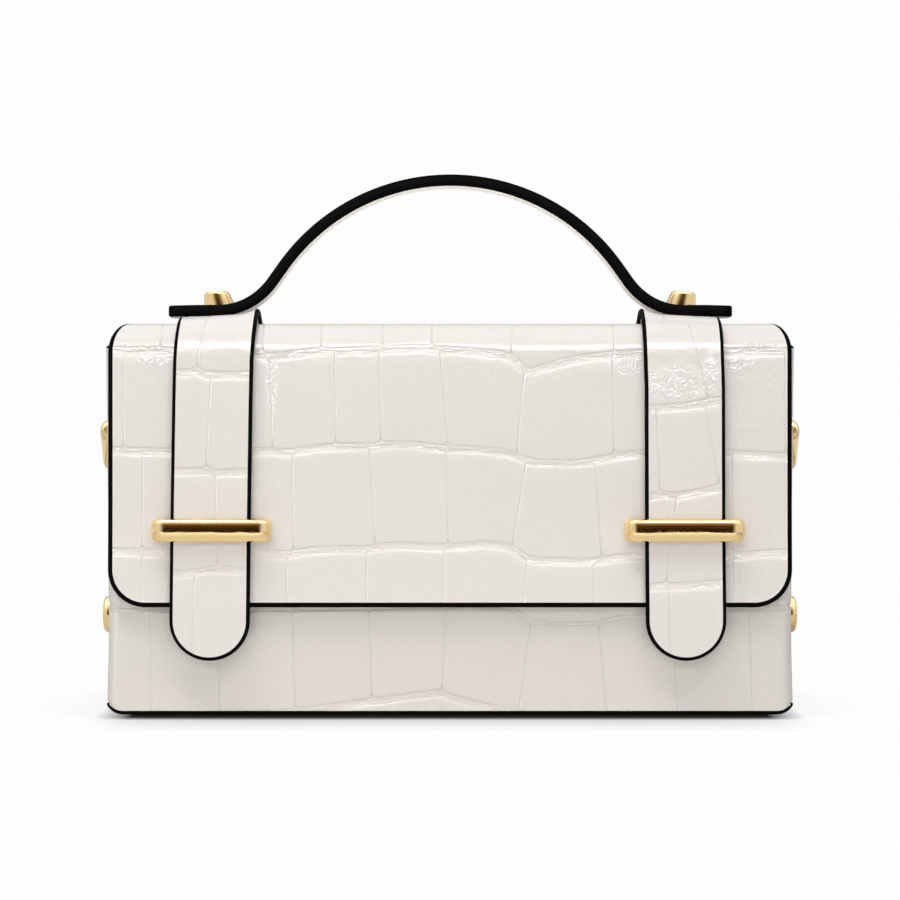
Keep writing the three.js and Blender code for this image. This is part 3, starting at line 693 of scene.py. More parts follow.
def flap_half(along):
    """The flap is full width on the front and narrows where it rounds the front shoulder."""
    turn = np.clip((along - (SHOULDER_Z - FLAP_BOTTOM)) / (FLAP_FACE - SHOULDER_Y), 0, math.pi / 2)
    return FLAP_HALF - (FLAP_HALF - FLAP_TOP_HALF) * (1 - np.cos(turn))


def flare(y, z):
    """How far the stiff flap, and a strap on it, stands away from the front near the flap's bottom edge."""
    share = np.clip((FLARE_TOP - z) / (FLARE_TOP - FLAP_BOTTOM), 0, 1)
    return np.where(y < 0, FLARE * share ** 2, 0)


def flap_fold(across, along, height):
    """The flap follows its path, its top sags a little between the shoulders and its bottom edge flares."""
    y, z, side_y, side_z = along_path(FLAP_PATH, along)
    sag = FLAP_SAG * ease(z, FLAP_SAG_RISE, FLAP_TOP) * (1 - ease(np.abs(y), *FLAP_SAG_FADE))
    return across, y - flare(y, z) + side_y * height, z + side_z * height - sag


EMBOSSED = croc_leather("croc_embossed_calf_leather", LEATHER_COLOUR)
chance = random.Random(FLAP_SEED)
flap_grooves = [groove_line(chance, -FLAP_REACH, FLAP_REACH, FLAP_LOW_GROOVE)] + FLAP_GROOVES
for height in FLAP_HIDDEN_GROOVES:
    flap_grooves.append(groove_line(chance, -FLAP_REACH, FLAP_REACH, height))
flap_lines = list(FLAP_SIDE_LINES)
for _ in FLAP_HIDDEN_GROOVES[1:]:
    flap_lines.append(scale_lines(chance, -FLAP_REACH, FLAP_REACH, FLAP_SCALE_WIDTH))
flap_sheet = cut_sheet("flap_sheet", flap_half, FLAP_LENGTH, (FLAP_CORNER, FLAP_CORNER), FLAP_EDGE,
                       FLAP_COLUMNS, FLAP_ROWS)
emboss(flap_sheet, flap_grooves, flap_lines, flap_half, FLAP_LENGTH, FLAP_PATCHES)
flap = fold_sheet(flap_sheet, flap_fold, [EMBOSSED, EDGE_PAINT, LINING])
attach(flap, "root")
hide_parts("flap")


# The straps
# Two bands of embossed leather that start behind, run over the top under the handle's ends and down the front
# through the bars. Their tips are half round and their edges painted black.
SIDES = ((-1, "left"), (1, "right"))
STRAP_FACE = 45.4
STRAP_TOP = 129.75
STRAP_TIP = 17.8
STRAP_TAIL = 98.0
STRAP_HALF = 12.9
STRAP_SINK = 0.65
STRAP_TILT = 0.7
STRAP_CURL = 1.7
STRAP_DROOP = 2.0
STRAP_COLUMNS = 48
STRAP_SEED = 20
STRAP_HIDDEN_ROWS = 5
STRAP_REACH = 16
STRAP_LOW_GROOVE = -9
STRAP_SCALE = 30
STRAP_LINE_PLACE = 6
STRAP_TAIL_CORNER = 2.0
STRAP_TIP_TURN = 0.5
# Where the strap's bends lie, front to back, as (start, full, still full, gone)
STRAP_SHOULDER_BEND = (-STRAP_FACE, -36, -26, -14)
STRAP_CURLED_BEND = (-38, -30, -26, -14)
STRAP_DROOPING_BEND = (-24, -12, 10, 40)
STRAP_CURLED_PART = (0.45, 1.0)
# How far each strap's middle lies from the bag's middle, as (height on the front, place)
STRAP_MIDDLES = {
    -1: [(18, -77.0), (60, -76.8), (100, -76.2), (114, -75.9), (120, -75.5), (126, -75.1)],
    1: [(18, 75.6), (60, 75.4), (105, 75.3), (118, 74.9), (126, 74.7)],
}
STRAP_EDGE = [
    (0.2, 0.05), (0.5, 0.06), (0.9, -0.15), (1.1, -0.55),
    (1.2, -1.05), (1.1, -1.65), (0.7, -2.05), (0.0, -2.1),
]
# Each strap's grooves (from its middle, up from its tip) and the lines between scales in the rows they part
STRAP_GROOVES = {
    -1: [[(-13.5, 27.8), (-7.1, 27.9), (-2.3, 28.6), (2.8, 29.4), (7.3, 28.9), (12.7, 28.4)],
         [(-13.9, 60.6), (-5.9, 60.5), (-1.1, 60.8), (1.1, 60.0), (6.9, 60.2), (12.3, 60.5)],
         [(-14.3, 92.2), (-7.9, 92.2), (-5.1, 93.0), (-2.2, 91.7), (3.3, 91.5), (11.9, 91.5)]],
    1: [[(-13.4, 23.5), (-8.0, 23.8), (-6.1, 23.8), (0.7, 23.9), (6.1, 24.4), (12.5, 24.9)],
        [(-13.1, 52.1), (-7.6, 53.2), (-3.5, 52.6), (1.4, 53.4), (6.5, 54.4), (12.9, 55.8)],
        [(-12.7, 80.8), (-5.7, 81.0), (0.4, 81.6), (5.9, 82.4), (9.4, 83.2), (13.3, 83.7)]],
}
STRAP_PATCHES = {-1: [], 1: [(-1.5, 88.5, 8.5, 4.5), (8.3, 91.5, 2.0, 5.0)]}
STRAP_SIDE_LINES = {
    -1: [[(-5.5, -5.0)], [(2.7, 1.3)], [(-1.6, -0.4)], [(-5.3, -2.6)]],
    1: [[(-4.9, -5.4)], [(-6.3, -2.6)], [(-7.9, -9.2), (11.3, 6.2)], [(7.6, 1.8)]],
}
STRAP_PATH = fold_over(STRAP_TIP, STRAP_FACE, STRAP_TOP, STRAP_TAIL)
STRAP_LENGTH = path_length(STRAP_PATH)
STRAP_ROWS = [(125, 0.55), (STRAP_LENGTH, 0.8)]


def bend_at(place, start, full, still, gone):
    """How much of a bend is there: none before its start, all of it in the middle, none where it is gone."""
    return ease(place, start, full) * (1 - ease(place, still, gone))


def strap_fold_for(side):
    """The fold of the left or the right strap, which leans a little down the front. Its front shoulder tilts
    down outwards. Just behind, its inner edge curls up where the handle pulls at it, and then it droops."""
    heights, middles = np.array(STRAP_MIDDLES[side]).T

    def fold(across, along, height):
        y, z, side_y, side_z = along_path(STRAP_PATH, along)
        x = across + np.where(y < 0, np.interp(z, heights, middles), middles[-1])
        inward = -side * across / STRAP_HALF
        lift = bend_at(y, *STRAP_SHOULDER_BEND) * (STRAP_TILT * inward - STRAP_SINK)
        lift = lift + bend_at(y, *STRAP_CURLED_BEND) * STRAP_CURL * ease(inward, *STRAP_CURLED_PART)
        lift = lift - bend_at(y, *STRAP_DROOPING_BEND) * STRAP_DROOP * ease(inward, 0.0, 1.0)
        return x, y - flare(y, z) + side_y * height, z + side_z * height + lift
    return fold


for side, word in SIDES:
    chance = random.Random(STRAP_SEED + side)
    grooves = [groove_line(chance, -STRAP_REACH, STRAP_REACH, STRAP_LOW_GROOVE)] + STRAP_GROOVES[side]
    lines = list(STRAP_SIDE_LINES[side])
    top_groove = grooves[-1][0][1]
    for number in range(1, STRAP_HIDDEN_ROWS + 1):
        grooves.append(groove_line(chance, -STRAP_REACH, STRAP_REACH, top_groove + STRAP_SCALE * number))
        line_ends = [chance.uniform(-STRAP_LINE_PLACE, STRAP_LINE_PLACE) for _ in range(2)]
        lines.append([line_ends])
    strap_sheet = cut_sheet(f"strap_band_{word}", even(STRAP_HALF), STRAP_LENGTH,
                            (STRAP_HALF, STRAP_TAIL_CORNER), STRAP_EDGE, STRAP_COLUMNS,
                            STRAP_ROWS, first_turns=(STRAP_TIP_TURN, 0))
    emboss(strap_sheet, grooves, lines[:-1], even(STRAP_HALF), STRAP_LENGTH, STRAP_PATCHES[side])
    strap = fold_sheet(strap_sheet, strap_fold_for(side), [EMBOSSED, EDGE_PAINT, LINING])
    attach(strap, "root")
    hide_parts(f"strap_{word}")


# The handle
# Layers of leather glued into a thick strap and bent into an arch, white on both faces, with heavy black
# paint on its cut edges. A stud fastens each flat end on top of a strap.
HANDLE_UPPER = 1.9
HANDLE_HALF = 6.5
HANDLE_HALF_LENGTH = 94.9
HANDLE_MIDDLE = 0.13
HANDLE_RISE = 44.2
HANDLE_SLOPE = math.radians(54.7)
HANDLE_FLAT_Z = 131.8
HANDLE_END_LIFT = 0.35
HANDLE_LIFTED = (66, 82)
HANDLE_SETTLED = (84, 96)
HANDLE_SETTLING = 0.6
HANDLE_CORNER = 2.5
HANDLE_COLUMNS = 20
HANDLE_ROW = 0.7
HANDLE_SEED = 31
HANDLE_SCALE = 23
HANDLE_FIRST_GROOVE = -12
HANDLE_PAST_END = 20
HANDLE_REACH = 8
HANDLE_LINE_PLACE = 3
ARCH_RADIUS = 68.9
FOOT_RADIUS = 23.9
HANDLE_EDGE = [
    (0.5, 0.02), (0.82, -0.14), (0.97, -0.5), (1.0, -1.9),
    (0.97, -3.2), (0.82, -3.5), (0.5, -3.72), (0.0, -3.79),
]


def handle_line():
    """The handle's middle line from left to right: flat end, foot, slope, arch, and down again."""
    crown = HANDLE_FLAT_Z + HANDLE_RISE
    bends = (ARCH_RADIUS + FOOT_RADIUS) * (1 - math.cos(HANDLE_SLOPE))
    slope = (HANDLE_RISE - bends) / math.sin(HANDLE_SLOPE)
    arch = [(ARCH_RADIUS * math.sin(turn), crown - ARCH_RADIUS * (1 - math.cos(turn)))
            for turn in np.linspace(0, HANDLE_SLOPE, 30)]
    foot_x = arch[-1][0] + slope * math.cos(HANDLE_SLOPE) + FOOT_RADIUS * math.sin(HANDLE_SLOPE)
    foot = [(foot_x - FOOT_RADIUS * math.sin(turn), HANDLE_FLAT_Z + FOOT_RADIUS * (1 - math.cos(turn)))
            for turn in np.linspace(HANDLE_SLOPE, 0, 18)]
    right = arch + foot + [(HANDLE_HALF_LENGTH, HANDLE_FLAT_Z)]
    left = [(-x, z) for x, z in reversed(right[1:])]
    return left + right


HANDLE_PATH = handle_line()
HANDLE_LENGTH = path_length(HANDLE_PATH)


def handle_fold(across, along, height):
    """The handle follows its line. Its ends are lifted a little where they rest on the straps."""
    x, z, side_x, side_z = along_path(HANDLE_PATH, along)
    out = HANDLE_UPPER + height
    settled = HANDLE_SETTLING * ease(np.abs(x), *HANDLE_SETTLED)
    lift = HANDLE_END_LIFT * ease(np.abs(x), *HANDLE_LIFTED) * (1 - settled)
    return HANDLE_MIDDLE + x + side_x * out, across, z + side_z * out + lift


chance = random.Random(HANDLE_SEED)
handle_rows = np.arange(HANDLE_FIRST_GROOVE, HANDLE_LENGTH + HANDLE_PAST_END, HANDLE_SCALE)
handle_grooves = [groove_line(chance, -HANDLE_REACH, HANDLE_REACH, height) for height in handle_rows]
handle_lines = []
for _ in handle_grooves[1:]:
    line_ends = [chance.uniform(-HANDLE_LINE_PLACE, HANDLE_LINE_PLACE) for _ in range(2)]
    handle_lines.append([line_ends])
handle_sheet = cut_sheet("handle_strap", even(HANDLE_HALF), HANDLE_LENGTH, (HANDLE_CORNER, HANDLE_CORNER),
                         HANDLE_EDGE, HANDLE_COLUMNS, [(HANDLE_LENGTH, HANDLE_ROW)])
emboss(handle_sheet, handle_grooves, handle_lines, even(HANDLE_HALF), HANDLE_LENGTH)
handle = fold_sheet(handle_sheet, handle_fold, [EMBOSSED, EDGE_PAINT, LINING])
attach(handle, "root")
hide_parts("handle")


# The front bars
# Gold-plated bars, cast and polished, that the straps run under. Each is bent back at both ends into legs
# that pass through the flap and the wall, and a plate inside holds each leg.
GOLD_COLOUR = "#f3d59c"
GOLD_SHEEN = (0.4, 0.7, 0.05, 0.12)
GOLD_CREASE = 40
RING = 32
BAR_HEIGHT = 59.55
BAR_HALF_LENGTH = 19.3
BAR_BREADTH = 7.4
BAR_THICKNESS = 3.4
BAR_FLAT_HALF = 1.3
BAR_CORNER = 4.4
BAR_FACE = 49.4
BAR_FOOT = 37.2
BAR_MIDDLES = {-1: -76.4, 1: 75.2}
BAR_PLATE = (7.0, 1.0, 9.0)
BAR_PLATE_Y = -36.95


def gold_plate():
    """Brass with a polished pale gold plate: mirror-bright and warm, with hairline scratches from wear."""
    material, tree, shader = new_material("polished_gold_plate", Base_Color=linear(GOLD_COLOUR), Metallic=1.0)
    place = add_node(tree, "ShaderNodeTexCoord", {}).outputs["Object"]
    scratches = noise(tree, place, size=1.5, detail=5.0)
    tree.links.new(spread(tree, scratches, *GOLD_SHEEN), shader.inputs["Roughness"])
    waves = noise(tree, place, size=9)
    tree.links.new(bump(tree, waves, rise=0.15, strength=0.5), shader.inputs["Normal"])
    return material


def draw_out(name, rings):
    """Draws a metal piece out of a round blank: a circle is extruded once for each ring after the first, and
    the rings are then set in their places. Each point keeps its turn, as extruding changes their order."""
    rings = np.array(rings, float)
    around = rings.shape[1]
    bpy.ops.object.select_all(action="DESELECT")
    bpy.ops.mesh.primitive_circle_add(vertices=around, radius=1, fill_type="NGON")
    piece = bpy.context.object
    piece.name = name
    piece.data.name = name
    keep_values(piece.data, "turn", np.arange(around))
    bpy.ops.object.mode_set(mode="EDIT")
    bpy.ops.mesh.select_mode(type="FACE")
    bpy.ops.mesh.select_all(action="SELECT")
    for _ in rings[1:]:
        bpy.ops.mesh.extrude_region_move()
    bpy.ops.object.mode_set(mode="OBJECT")
    turn = np.rint(read(piece.data.attributes["turn"].data, "value", kind=np.float32)).astype(int)
    piece.data.attributes.remove(piece.data.attributes["turn"])
    ring = np.arange(len(turn)) // around
    piece.data.vertices.foreach_set("co", (rings[ring, turn] * MM).ravel())
    piece.data.update()
    smooth_faces(GOLD_CREASE)
    piece.data.materials.append(GOLD)
    return piece


def bar_rings(path, thick, broad, flat_half):
    """Rings round a bent bar that lies in one plane: its section is thick in the plane and broad across it,
    flat in the middle of its broad faces and rounded towards both edges."""
    path = np.array(path, float)
    ahead = np.gradient(path, axis=0)
    ahead /= np.linalg.norm(ahead, axis=1)[:, None]
    turn = (np.arange(RING) + 0.5) * 2 * math.pi / RING
    out = np.outer(np.broadcast_to(np.array(thick) / 2, len(path)), np.cos(turn))
    half = np.broadcast_to(np.array(broad) / 2, len(path))
    rise = np.outer(half - flat_half, np.sin(turn)) + flat_half * np.sign(np.sin(turn))
    first = path[:, :1] - ahead[:, 1:] * out
    second = path[:, 1:] + ahead[:, :1] * out
    return first, second, rise


def join_pieces(pieces, name):
    """Joins a piece's bits into one object."""
    bpy.ops.object.select_all(action="DESELECT")
    for piece in pieces:
        piece.select_set(True)
    bpy.context.view_layer.objects.active = pieces[0]
    bpy.ops.object.join()
    pieces[0].name = name
    return pieces[0]


def disc_rings(radii, centre, axis):
    """Rings of a turned piece about the line along x or z through its centre, as (radius, how far along)."""
    turn = np.arange(RING) * 2 * math.pi / RING
    rings = []
    for radius, reach in radii:
        around, over = radius * np.cos(turn), radius * np.sin(turn)
        middle_x, middle_y, middle_z = centre
        if axis == "x":
            rings.append(np.stack([middle_x + reach + 0 * turn, middle_y + around, middle_z + over], axis=1))
        else:
            rings.append(np.stack([middle_x + around, middle_y + over, middle_z + reach + 0 * turn], axis=1))
    return rings


GOLD = gold_plate()
BAR_LEG_X = BAR_HALF_LENGTH - BAR_THICKNESS / 2
BAR_LINE = BAR_FACE - BAR_THICKNESS / 2
BAR_BEND = BAR_CORNER - BAR_THICKNESS / 2
bar_right_half = [(x, -BAR_LINE) for x in np.linspace(0, BAR_LEG_X - BAR_BEND, 6)]
for turn in np.linspace(0, math.pi / 2, 9)[1:]:
    bend_x = BAR_LEG_X - BAR_BEND * (1 - math.sin(turn))
    bar_right_half.append((bend_x, -BAR_LINE + BAR_BEND * (1 - math.cos(turn))))
bar_right_half += [(BAR_LEG_X, y) for y in np.linspace(-BAR_LINE + BAR_BEND, -BAR_FOOT, 4)[1:]]
bar_path = [(-x, y) for x, y in reversed(bar_right_half[1:])] + bar_right_half
for side, word in SIDES:
    across, deep, rise = bar_rings(bar_path, BAR_THICKNESS, BAR_BREADTH, BAR_FLAT_HALF)
    bar = draw_out("bar", np.stack([across + BAR_MIDDLES[side], deep, rise + BAR_HEIGHT], axis=2))
    plates = []
    for end in (-1, 1):
        bpy.ops.object.select_all(action="DESELECT")
        bpy.ops.mesh.primitive_cube_add(size=1)
        plate = bpy.context.object
        plate.scale = [size * MM for size in BAR_PLATE]
        plate.location = ((BAR_MIDDLES[side] + end * BAR_LEG_X) * MM, BAR_PLATE_Y * MM, BAR_HEIGHT * MM)
        bpy.ops.object.transform_apply(location=True, scale=True)
        plate.data.materials.append(GOLD)
        plates.append(plate)
    bar = join_pieces([bar] + plates, f"bar_{word}")
    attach(bar, "root")
    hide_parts(f"front_bar_{word}")


# The handle's studs
# Gold-plated blocks on the handle's ends, upright on the outer side, slanting on the inner side and softly
# rounded. A post goes down from each through the handle, the strap and the flap to a washer inside.
STUD_MIDDLE = 77.8
STUD_HALF_LENGTH = 5.3
STUD_HALF_BREADTH = 4.7
STUD_SLANT = 2.6
STUD_RISE = 5.0
STUD_BOTTOM = 133.9
STUD_ROUNDING = 1.1
STUD_TILT = 0.09
STUD_SQUARENESS = 0.95
STUD_CROWN = 0.05
STUD_CROWN_INSET = 1.6
STUD_FOOT_RINGS = (0.0, 0.25, 0.5)
STUD_POST = 2.0
STUD_WASHER = 4.0
STUD_WASHER_Z = 122.6
POST_LINE = [
    (STUD_WASHER, -1.0), (STUD_WASHER, 0.0), (STUD_POST, 0.0), (STUD_POST, STUD_BOTTOM - STUD_WASHER_Z),
]


def stud_rings(side):
    """Rings of the stud from its bottom to its rounded top, each a rounded oblong."""
    turn = (np.arange(RING * 2) + 0.5) * math.pi / RING
    across = np.sign(np.cos(turn)) * np.abs(np.cos(turn)) ** STUD_SQUARENESS
    deep = np.sign(np.sin(turn)) * np.abs(np.sin(turn)) ** STUD_SQUARENESS
    levels = [(rise, 0.0) for rise in (*STUD_FOOT_RINGS, STUD_RISE - STUD_ROUNDING)]
    for angle in np.linspace(0, math.pi / 2, 7)[1:]:
        inset = STUD_ROUNDING * (1 - math.cos(angle))
        levels.append((STUD_RISE - STUD_ROUNDING * (1 - math.sin(angle)), inset))
    levels.append((STUD_RISE + STUD_CROWN, STUD_ROUNDING + STUD_CROWN_INSET))
    rings = []
    for rise, inset in levels:
        slant = STUD_SLANT * rise / STUD_RISE
        outer, inner = -STUD_HALF_LENGTH + inset, STUD_HALF_LENGTH - slant - inset
        place = (outer + inner) / 2 + across * (inner - outer) / 2
        x = side * STUD_MIDDLE - side * place
        y = deep * (STUD_HALF_BREADTH - inset)
        z = STUD_BOTTOM + rise * (1 + STUD_TILT * place / STUD_HALF_LENGTH)
        rings.append(np.stack([x, y, z], axis=1))
    return rings


for side, word in SIDES:
    block = draw_out("stud", stud_rings(side))
    post = draw_out("post", disc_rings(POST_LINE, (side * STUD_MIDDLE, 0, STUD_WASHER_Z), "z"))
    stud = join_pieces([block, post], f"stud_{word}")
    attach(stud, "root")
    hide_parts(f"handle_stud_{word}")


# The side loops
# Cast gold-plated loops high on the sides for a shoulder strap's clips. From the front each is a C whose
# outer bar leans in towards the bottom. From the side it is broad above and narrow below. Two pins hold it.
LOOP_WALL = 110.9
# The loop's bar from its upper leg to its lower one, as (out from the wall, height, thickness, breadth)
LOOP_BAR = [
    (-0.6, 93.6, 5.2, 6.0),
    (1.2, 93.6, 5.2, 7.0),
    (3.2, 93.5, 5.0, 8.4),
    (4.7, 93.1, 4.4, 9.4),
    (5.6, 92.0, 3.4, 9.9),
    (5.75, 89.9, 2.8, 10.0),
    (5.65, 87.5, 2.4, 9.6),
    (5.55, 85.0, 2.1, 8.8),
    (5.45, 82.6, 1.9, 7.8),
    (5.2, 80.9, 2.0, 7.0),
    (4.4, 79.8, 2.3, 6.4),
    (3.0, 79.4, 2.5, 5.8),
    (1.2, 79.4, 2.6, 5.2),
    (-0.6, 79.4, 2.6, 5.0),
]
LOOP_FLAT_HALF = 0.6
LOOP_BOW = 2.2
LOOP_HALF = 5.0
LOOP_LEG = (1.0, 4.0)
LOOP_BEND = (89.5, 92.0)
PIN_RADIUS = 1.5
PIN_FOOT = 3.0
PIN_LINE = [(PIN_RADIUS, 0.3), (PIN_RADIUS, -2.5), (PIN_FOOT, -2.5), (PIN_FOOT, -3.4)]


def smooth_line(values):
    """Puts three places between each two of a list, on a smooth line."""
    values = np.array(values, float)
    marks = np.arange(len(values))
    fine = np.linspace(0, len(values) - 1, (len(values) - 1) * 4 + 1)
    rounded = np.interp(fine, marks, values)
    for _ in range(2):
        rounded[1:-1] = (rounded[:-2] + 2 * rounded[1:-1] + rounded[2:]) / 4
    return rounded


def mirrored_rings(rings, side):
    """Turns rings that were drawn on the right side to the side asked for."""
    return [np.array(ring) * [side, 1, 1] for ring in rings]


outs, heights, loop_thick, loop_broad = (smooth_line(column) for column in zip(*LOOP_BAR))
for side, word in SIDES:
    out, up, broad = bar_rings(np.stack([outs, heights], axis=1), loop_thick, loop_broad, LOOP_FLAT_HALF)
    bowed = ease(out, *LOOP_LEG) * (1 - ease(up, *LOOP_BEND))
    out = out - LOOP_BOW * (broad / LOOP_HALF) ** 2 * bowed
    bits = [draw_out("loop", np.stack([side * (LOOP_WALL + out), broad, up], axis=2))]
    for height in (heights[0], heights[-1]):
        rings = disc_rings(PIN_LINE, (LOOP_WALL, 0, height), "x")
        bits.append(draw_out("pin", mirrored_rings(rings, side)))
    loop = join_pieces(bits, f"loop_{word}")
    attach(loop, "root")
    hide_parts(f"strap_loop_{word}")


# The side buttons
# Turned gold-plated knobs low on the sides, each on a neck that a strap's end can hook over, held by a pin.
BUTTON_HEIGHT = 29.8
BUTTON_WALL = 110.6
# The turned profile from the pin's foot inside to the knob's face, as (radius, how far out from the wall)
BUTTON_LINE = [
    (PIN_FOOT, -3.4), (PIN_FOOT, -2.5), (PIN_RADIUS, -2.5), (PIN_RADIUS, 0.3),
    (4.6, 0.3), (4.6, 1.2), (3.2, 1.5), (3.2, 2.9),
    (5.2, 3.0), (5.8, 3.15), (6.15, 3.5), (6.25, 4.0), (6.25, 4.6), (6.1, 5.2),
    (5.7, 5.8), (5.0, 6.2), (3.6, 6.4), (1.6, 6.45), (0.3, 6.45),
]

for side, word in SIDES:
    rings = disc_rings(BUTTON_LINE, (BUTTON_WALL, 0, BUTTON_HEIGHT), "x")
    button = draw_out(f"button_{word}", mirrored_rings(rings, side))
    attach(button, "root")
    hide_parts(f"strap_button_{word}")


# The stage
# A white paper floor under soft studio light, and a camera level with the middle of the bag, as in the photo.
FLOOR_SIZE = (1.8, 1.1, 1.0)
FLOOR_PLACE = (0.0, -0.2, 0.0)
FLOOR_COLOUR = "#e6e5e4"
MIRRORED_FLOOR = "#fbfaf8"
PAPER_WHITE = (0.985, 0.985, 0.985, 1)
CONTACT_SHADE = (0.012, 0.009, 0.006, 1)
# The painted shade under the bag, as (reach, steepness), and where it is painted out to white, as (from, to,
# most)
SHADES = [(17, 14.0), (50, 0.9)]
SHADE_WIPED_BESIDE = (102, 114, 0.95)
SHADE_WIPED_BEHIND = (-36, -28, 0.6)
ROOM_LIGHT = (0.195, 0.195, 0.2, 1)
DARK_BELOW = (0.028, 0.014, 0.004, 1)
DARK_ABOVE = (0.3, 0.17, 0.05, 1)
# The room that metal mirrors, by direction, as (from, to, value there at first, value at last)
SIDE_PANELS = (0.4, 0.6, 0.34, 0.85)
CEILING = (0.4, 0.8, 0.0, 1.0)
CEILING_LIGHT = 1.1
DARK_SIDES = (0.22, 0.34, 1.0, 0.0)
DARK_HEIGHTS = (0.25, 0.95, 1.0, 0.0)
DARK_TINTS = (0.0, 0.5, 0.0, 1.0)
CAMERA_PLACE = (0.0, -842.7, 85.3)
CAMERA_LENS = 99.6
bpy.ops.object.select_all(action="DESELECT")
bpy.ops.mesh.primitive_plane_add(size=1, location=FLOOR_PLACE)
floor = bpy.context.object
floor.name = "floor"
floor.scale = FLOOR_SIZE
bpy.ops.object.transform_apply(location=True, scale=True)
paper, paper_tree, paper_shader = new_material("white_paper_floor", Roughness=0.9, Specular_IOR_Level=0.0)
# Camera rays see the paper glow white with a painted contact shadow; other rays see plain lit paper
looking = add_node(paper_tree, "ShaderNodeLightPath", {}).outputs
shades = []
for reach, steepness in SHADES:
    near = add_node(paper_tree, "ShaderNodeAmbientOcclusion", {"Distance": reach * MM}, samples=16)
    shades.append(math_of(paper_tree, "POWER", near.outputs["AO"], steepness))
contact = math_of(paper_tree, "MULTIPLY", *shades)
place = add_node(paper_tree, "ShaderNodeTexCoord", {}).outputs["Object"]
paper_parts = add_node(paper_tree, "ShaderNodeSeparateXYZ", {"Vector": place}).outputs
beside = math_of(paper_tree, "ABSOLUTE", paper_parts["X"])
shade_wipes = []
for distance, (start, full, most) in ((beside, SHADE_WIPED_BESIDE), (paper_parts["Y"], SHADE_WIPED_BEHIND)):
    shade_wipes.append(spread(paper_tree, distance, start * MM, full * MM, 0.0, most))
shade_wiped = math_of(paper_tree, "MAXIMUM", *shade_wipes)
pale = spread(paper_tree, shade_wiped, 0.0, 1.0, contact, 1.0)
seen = mixed(paper_tree, pale, CONTACT_SHADE, PAPER_WHITE)
painted_floor_glow = add_node(paper_tree, "ShaderNodeEmission", {"Color": seen})
paper_pale = mixed(paper_tree, looking["Is Glossy Ray"], linear(FLOOR_COLOUR), linear(MIRRORED_FLOOR))
paper_tree.links.new(paper_pale, paper_shader.inputs["Base Color"])
paper_mix = add_node(paper_tree, "ShaderNodeMixShader", {
    0: looking["Is Camera Ray"],
    1: paper_shader.outputs["BSDF"],
    2: painted_floor_glow.outputs["Emission"],
})
paper_tree.links.new(paper_mix.outputs["Shader"], paper_tree.nodes["Material Output"].inputs["Surface"])
floor.data.materials.append(paper)

# What metal and glaze mirror: bright panels to both sides and above, and a dark zone round the camera
world = bpy.data.worlds.new("studio")
bpy.context.scene.world = world
world.use_nodes = True
sky = world.node_tree
background = sky.nodes["Background"]
facing = add_node(sky, "ShaderNodeTexCoord", {}).outputs["Generated"]
parts = add_node(sky, "ShaderNodeSeparateXYZ", {"Vector": facing}).outputs
aside = math_of(sky, "ABSOLUTE", parts["X"])
panels = spread(sky, aside, *SIDE_PANELS)
above = spread(sky, parts["Z"], *CEILING)
walls = math_of(sky, "MULTIPLY_ADD", above, CEILING_LIGHT, panels)
frontal = spread(sky, aside, *DARK_SIDES)
facing_us = math_of(sky, "LESS_THAN", parts["Y"], 0.0)
low = spread(sky, parts["Z"], *DARK_HEIGHTS)
dark = math_of(sky, "MULTIPLY", math_of(sky, "MULTIPLY", frontal, low), facing_us)
shade = mixed(sky, spread(sky, parts["Z"], *DARK_TINTS), DARK_BELOW, DARK_ABOVE)
room = mixed(sky, dark, walls, shade)
ray = add_node(sky, "ShaderNodeLightPath", {}).outputs
soft = mixed(sky, ray["Is Glossy Ray"], ROOM_LIGHT, room)
shown = mixed(sky, ray["Is Camera Ray"], soft, PAPER_WHITE)
sky.links.new(shown, background.inputs["Color"])
background.inputs["Strength"].default_value = 1.0

# The leather and the floor take one set of lights and the polished metal another. The handle's underside has
# a small card of its own.
leather_set = bpy.data.collections.new("leather_and_floor")
metal_set = bpy.data.collections.new("polished_metal")
handle_set = bpy.data.collections.new("handle_alone")
handle_set.objects.link(handle)
for thing in bpy.context.scene.objects:
    if thing.type == "MESH":
        lit_set = metal_set if GOLD.name in thing.data.materials else leather_set
        lit_set.objects.link(thing)
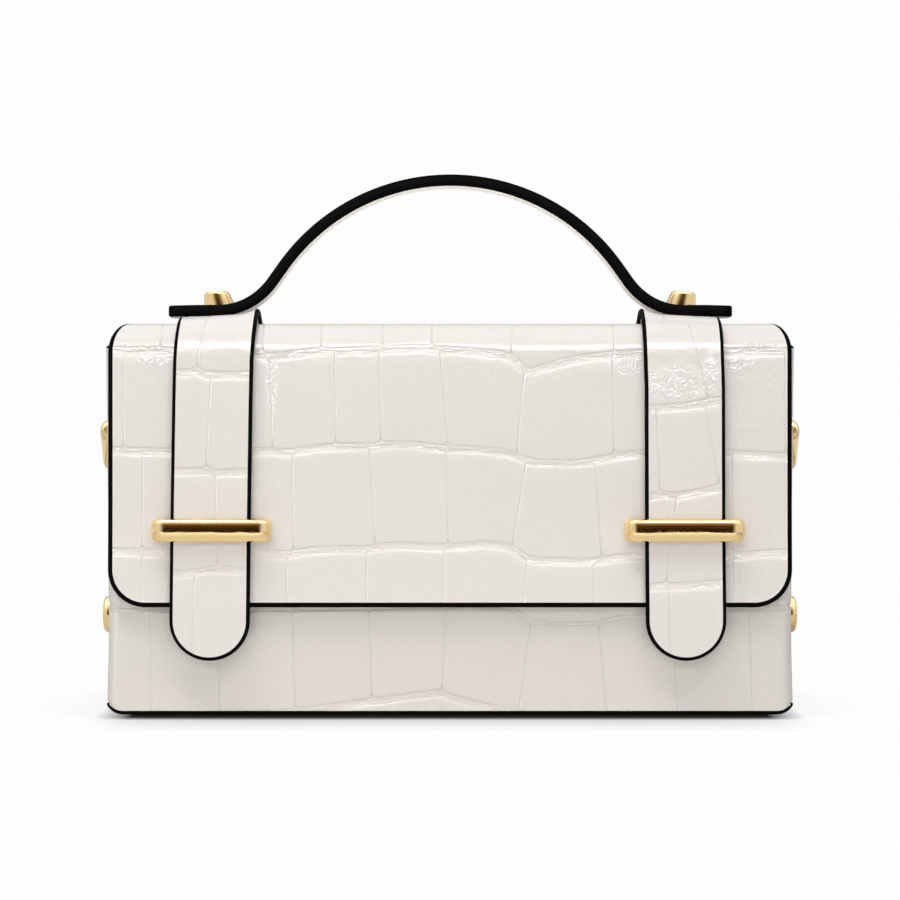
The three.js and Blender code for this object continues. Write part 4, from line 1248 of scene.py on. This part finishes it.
# Lights: name, place, the point it faces, width, depth, power, what takes it, if it lights, if it gleams
LIGHTS = [
    ("softbox_left", (-0.3, -0.39, 1.25), (0.0, 0.0, 0.1), 0.5, 0.25, 6.2, leather_set, True, False),
    ("softbox_right", (0.32, -0.6, 1.14), (0.0, 0.0, 0.1), 0.5, 0.25, 2.9, leather_set, True, False),
    ("front_box", (-0.25, -0.7, 0.37), (0.0, 0.0, 0.08), 1.2, 0.03, 1.45, leather_set, True, False),
    ("front_strip", (-0.1, -0.7, 0.37), (0.0, 0.0, 0.1), 1.2, 0.03, 9.0, leather_set, False, True),
    ("side_strip", (-0.65, -0.55, 0.2), (0.0, 0.0, 0.08), 0.06, 0.7, 2.2, leather_set, False, True),
    ("low_card", (0.0, -0.6, 0.02), (0.0, 0.0, 0.06), 1.0, 0.05, 0.8, leather_set, True, False),
    ("rear_box", (0.0, 0.5, 0.04), (0.0, 0.0, 0.12), 0.3, 0.06, 0.8, leather_set, True, False),
    ("handle_card", (0.0, 0.0, 0.13), (0.0, 0.0, 0.2), 0.1, 0.05, 0.012, handle_set, True, False),
    ("metal_left", (-0.3, -0.39, 1.25), (0.0, 0.0, 0.1), 0.5, 0.07, 5.8, metal_set, False, True),
    ("metal_right", (0.32, -0.6, 1.14), (0.0, 0.0, 0.1), 0.5, 0.12, 3.0, metal_set, False, True),
]
for name, place, target, width, depth, power, lit_set, lights_up, gleams in LIGHTS:
    bpy.ops.object.light_add(type="AREA", location=place)
    lamp = bpy.context.object
    lamp.name = name
    lamp.data.shape = "RECTANGLE"
    lamp.data.size = width
    lamp.data.size_y = depth
    lamp.data.energy = power
    aim = lamp.location.copy()
    aim.x, aim.y, aim.z = target[0] - place[0], target[1] - place[1], target[2] - place[2]
    lamp.rotation_euler = aim.to_track_quat("-Z", "Y").to_euler()
    lamp.light_linking.receiver_collection = lit_set
    lamp.visible_diffuse = lights_up
    lamp.visible_glossy = gleams

bpy.ops.object.camera_add(location=[part * MM for part in CAMERA_PLACE], rotation=(math.radians(90), 0, 0))
camera = bpy.context.object
camera.data.lens = CAMERA_LENS
camera.data.sensor_width = 36
camera.data.clip_start = 0.01
bpy.context.scene.camera = camera
bpy.context.scene.view_settings.view_transform = "Standard"
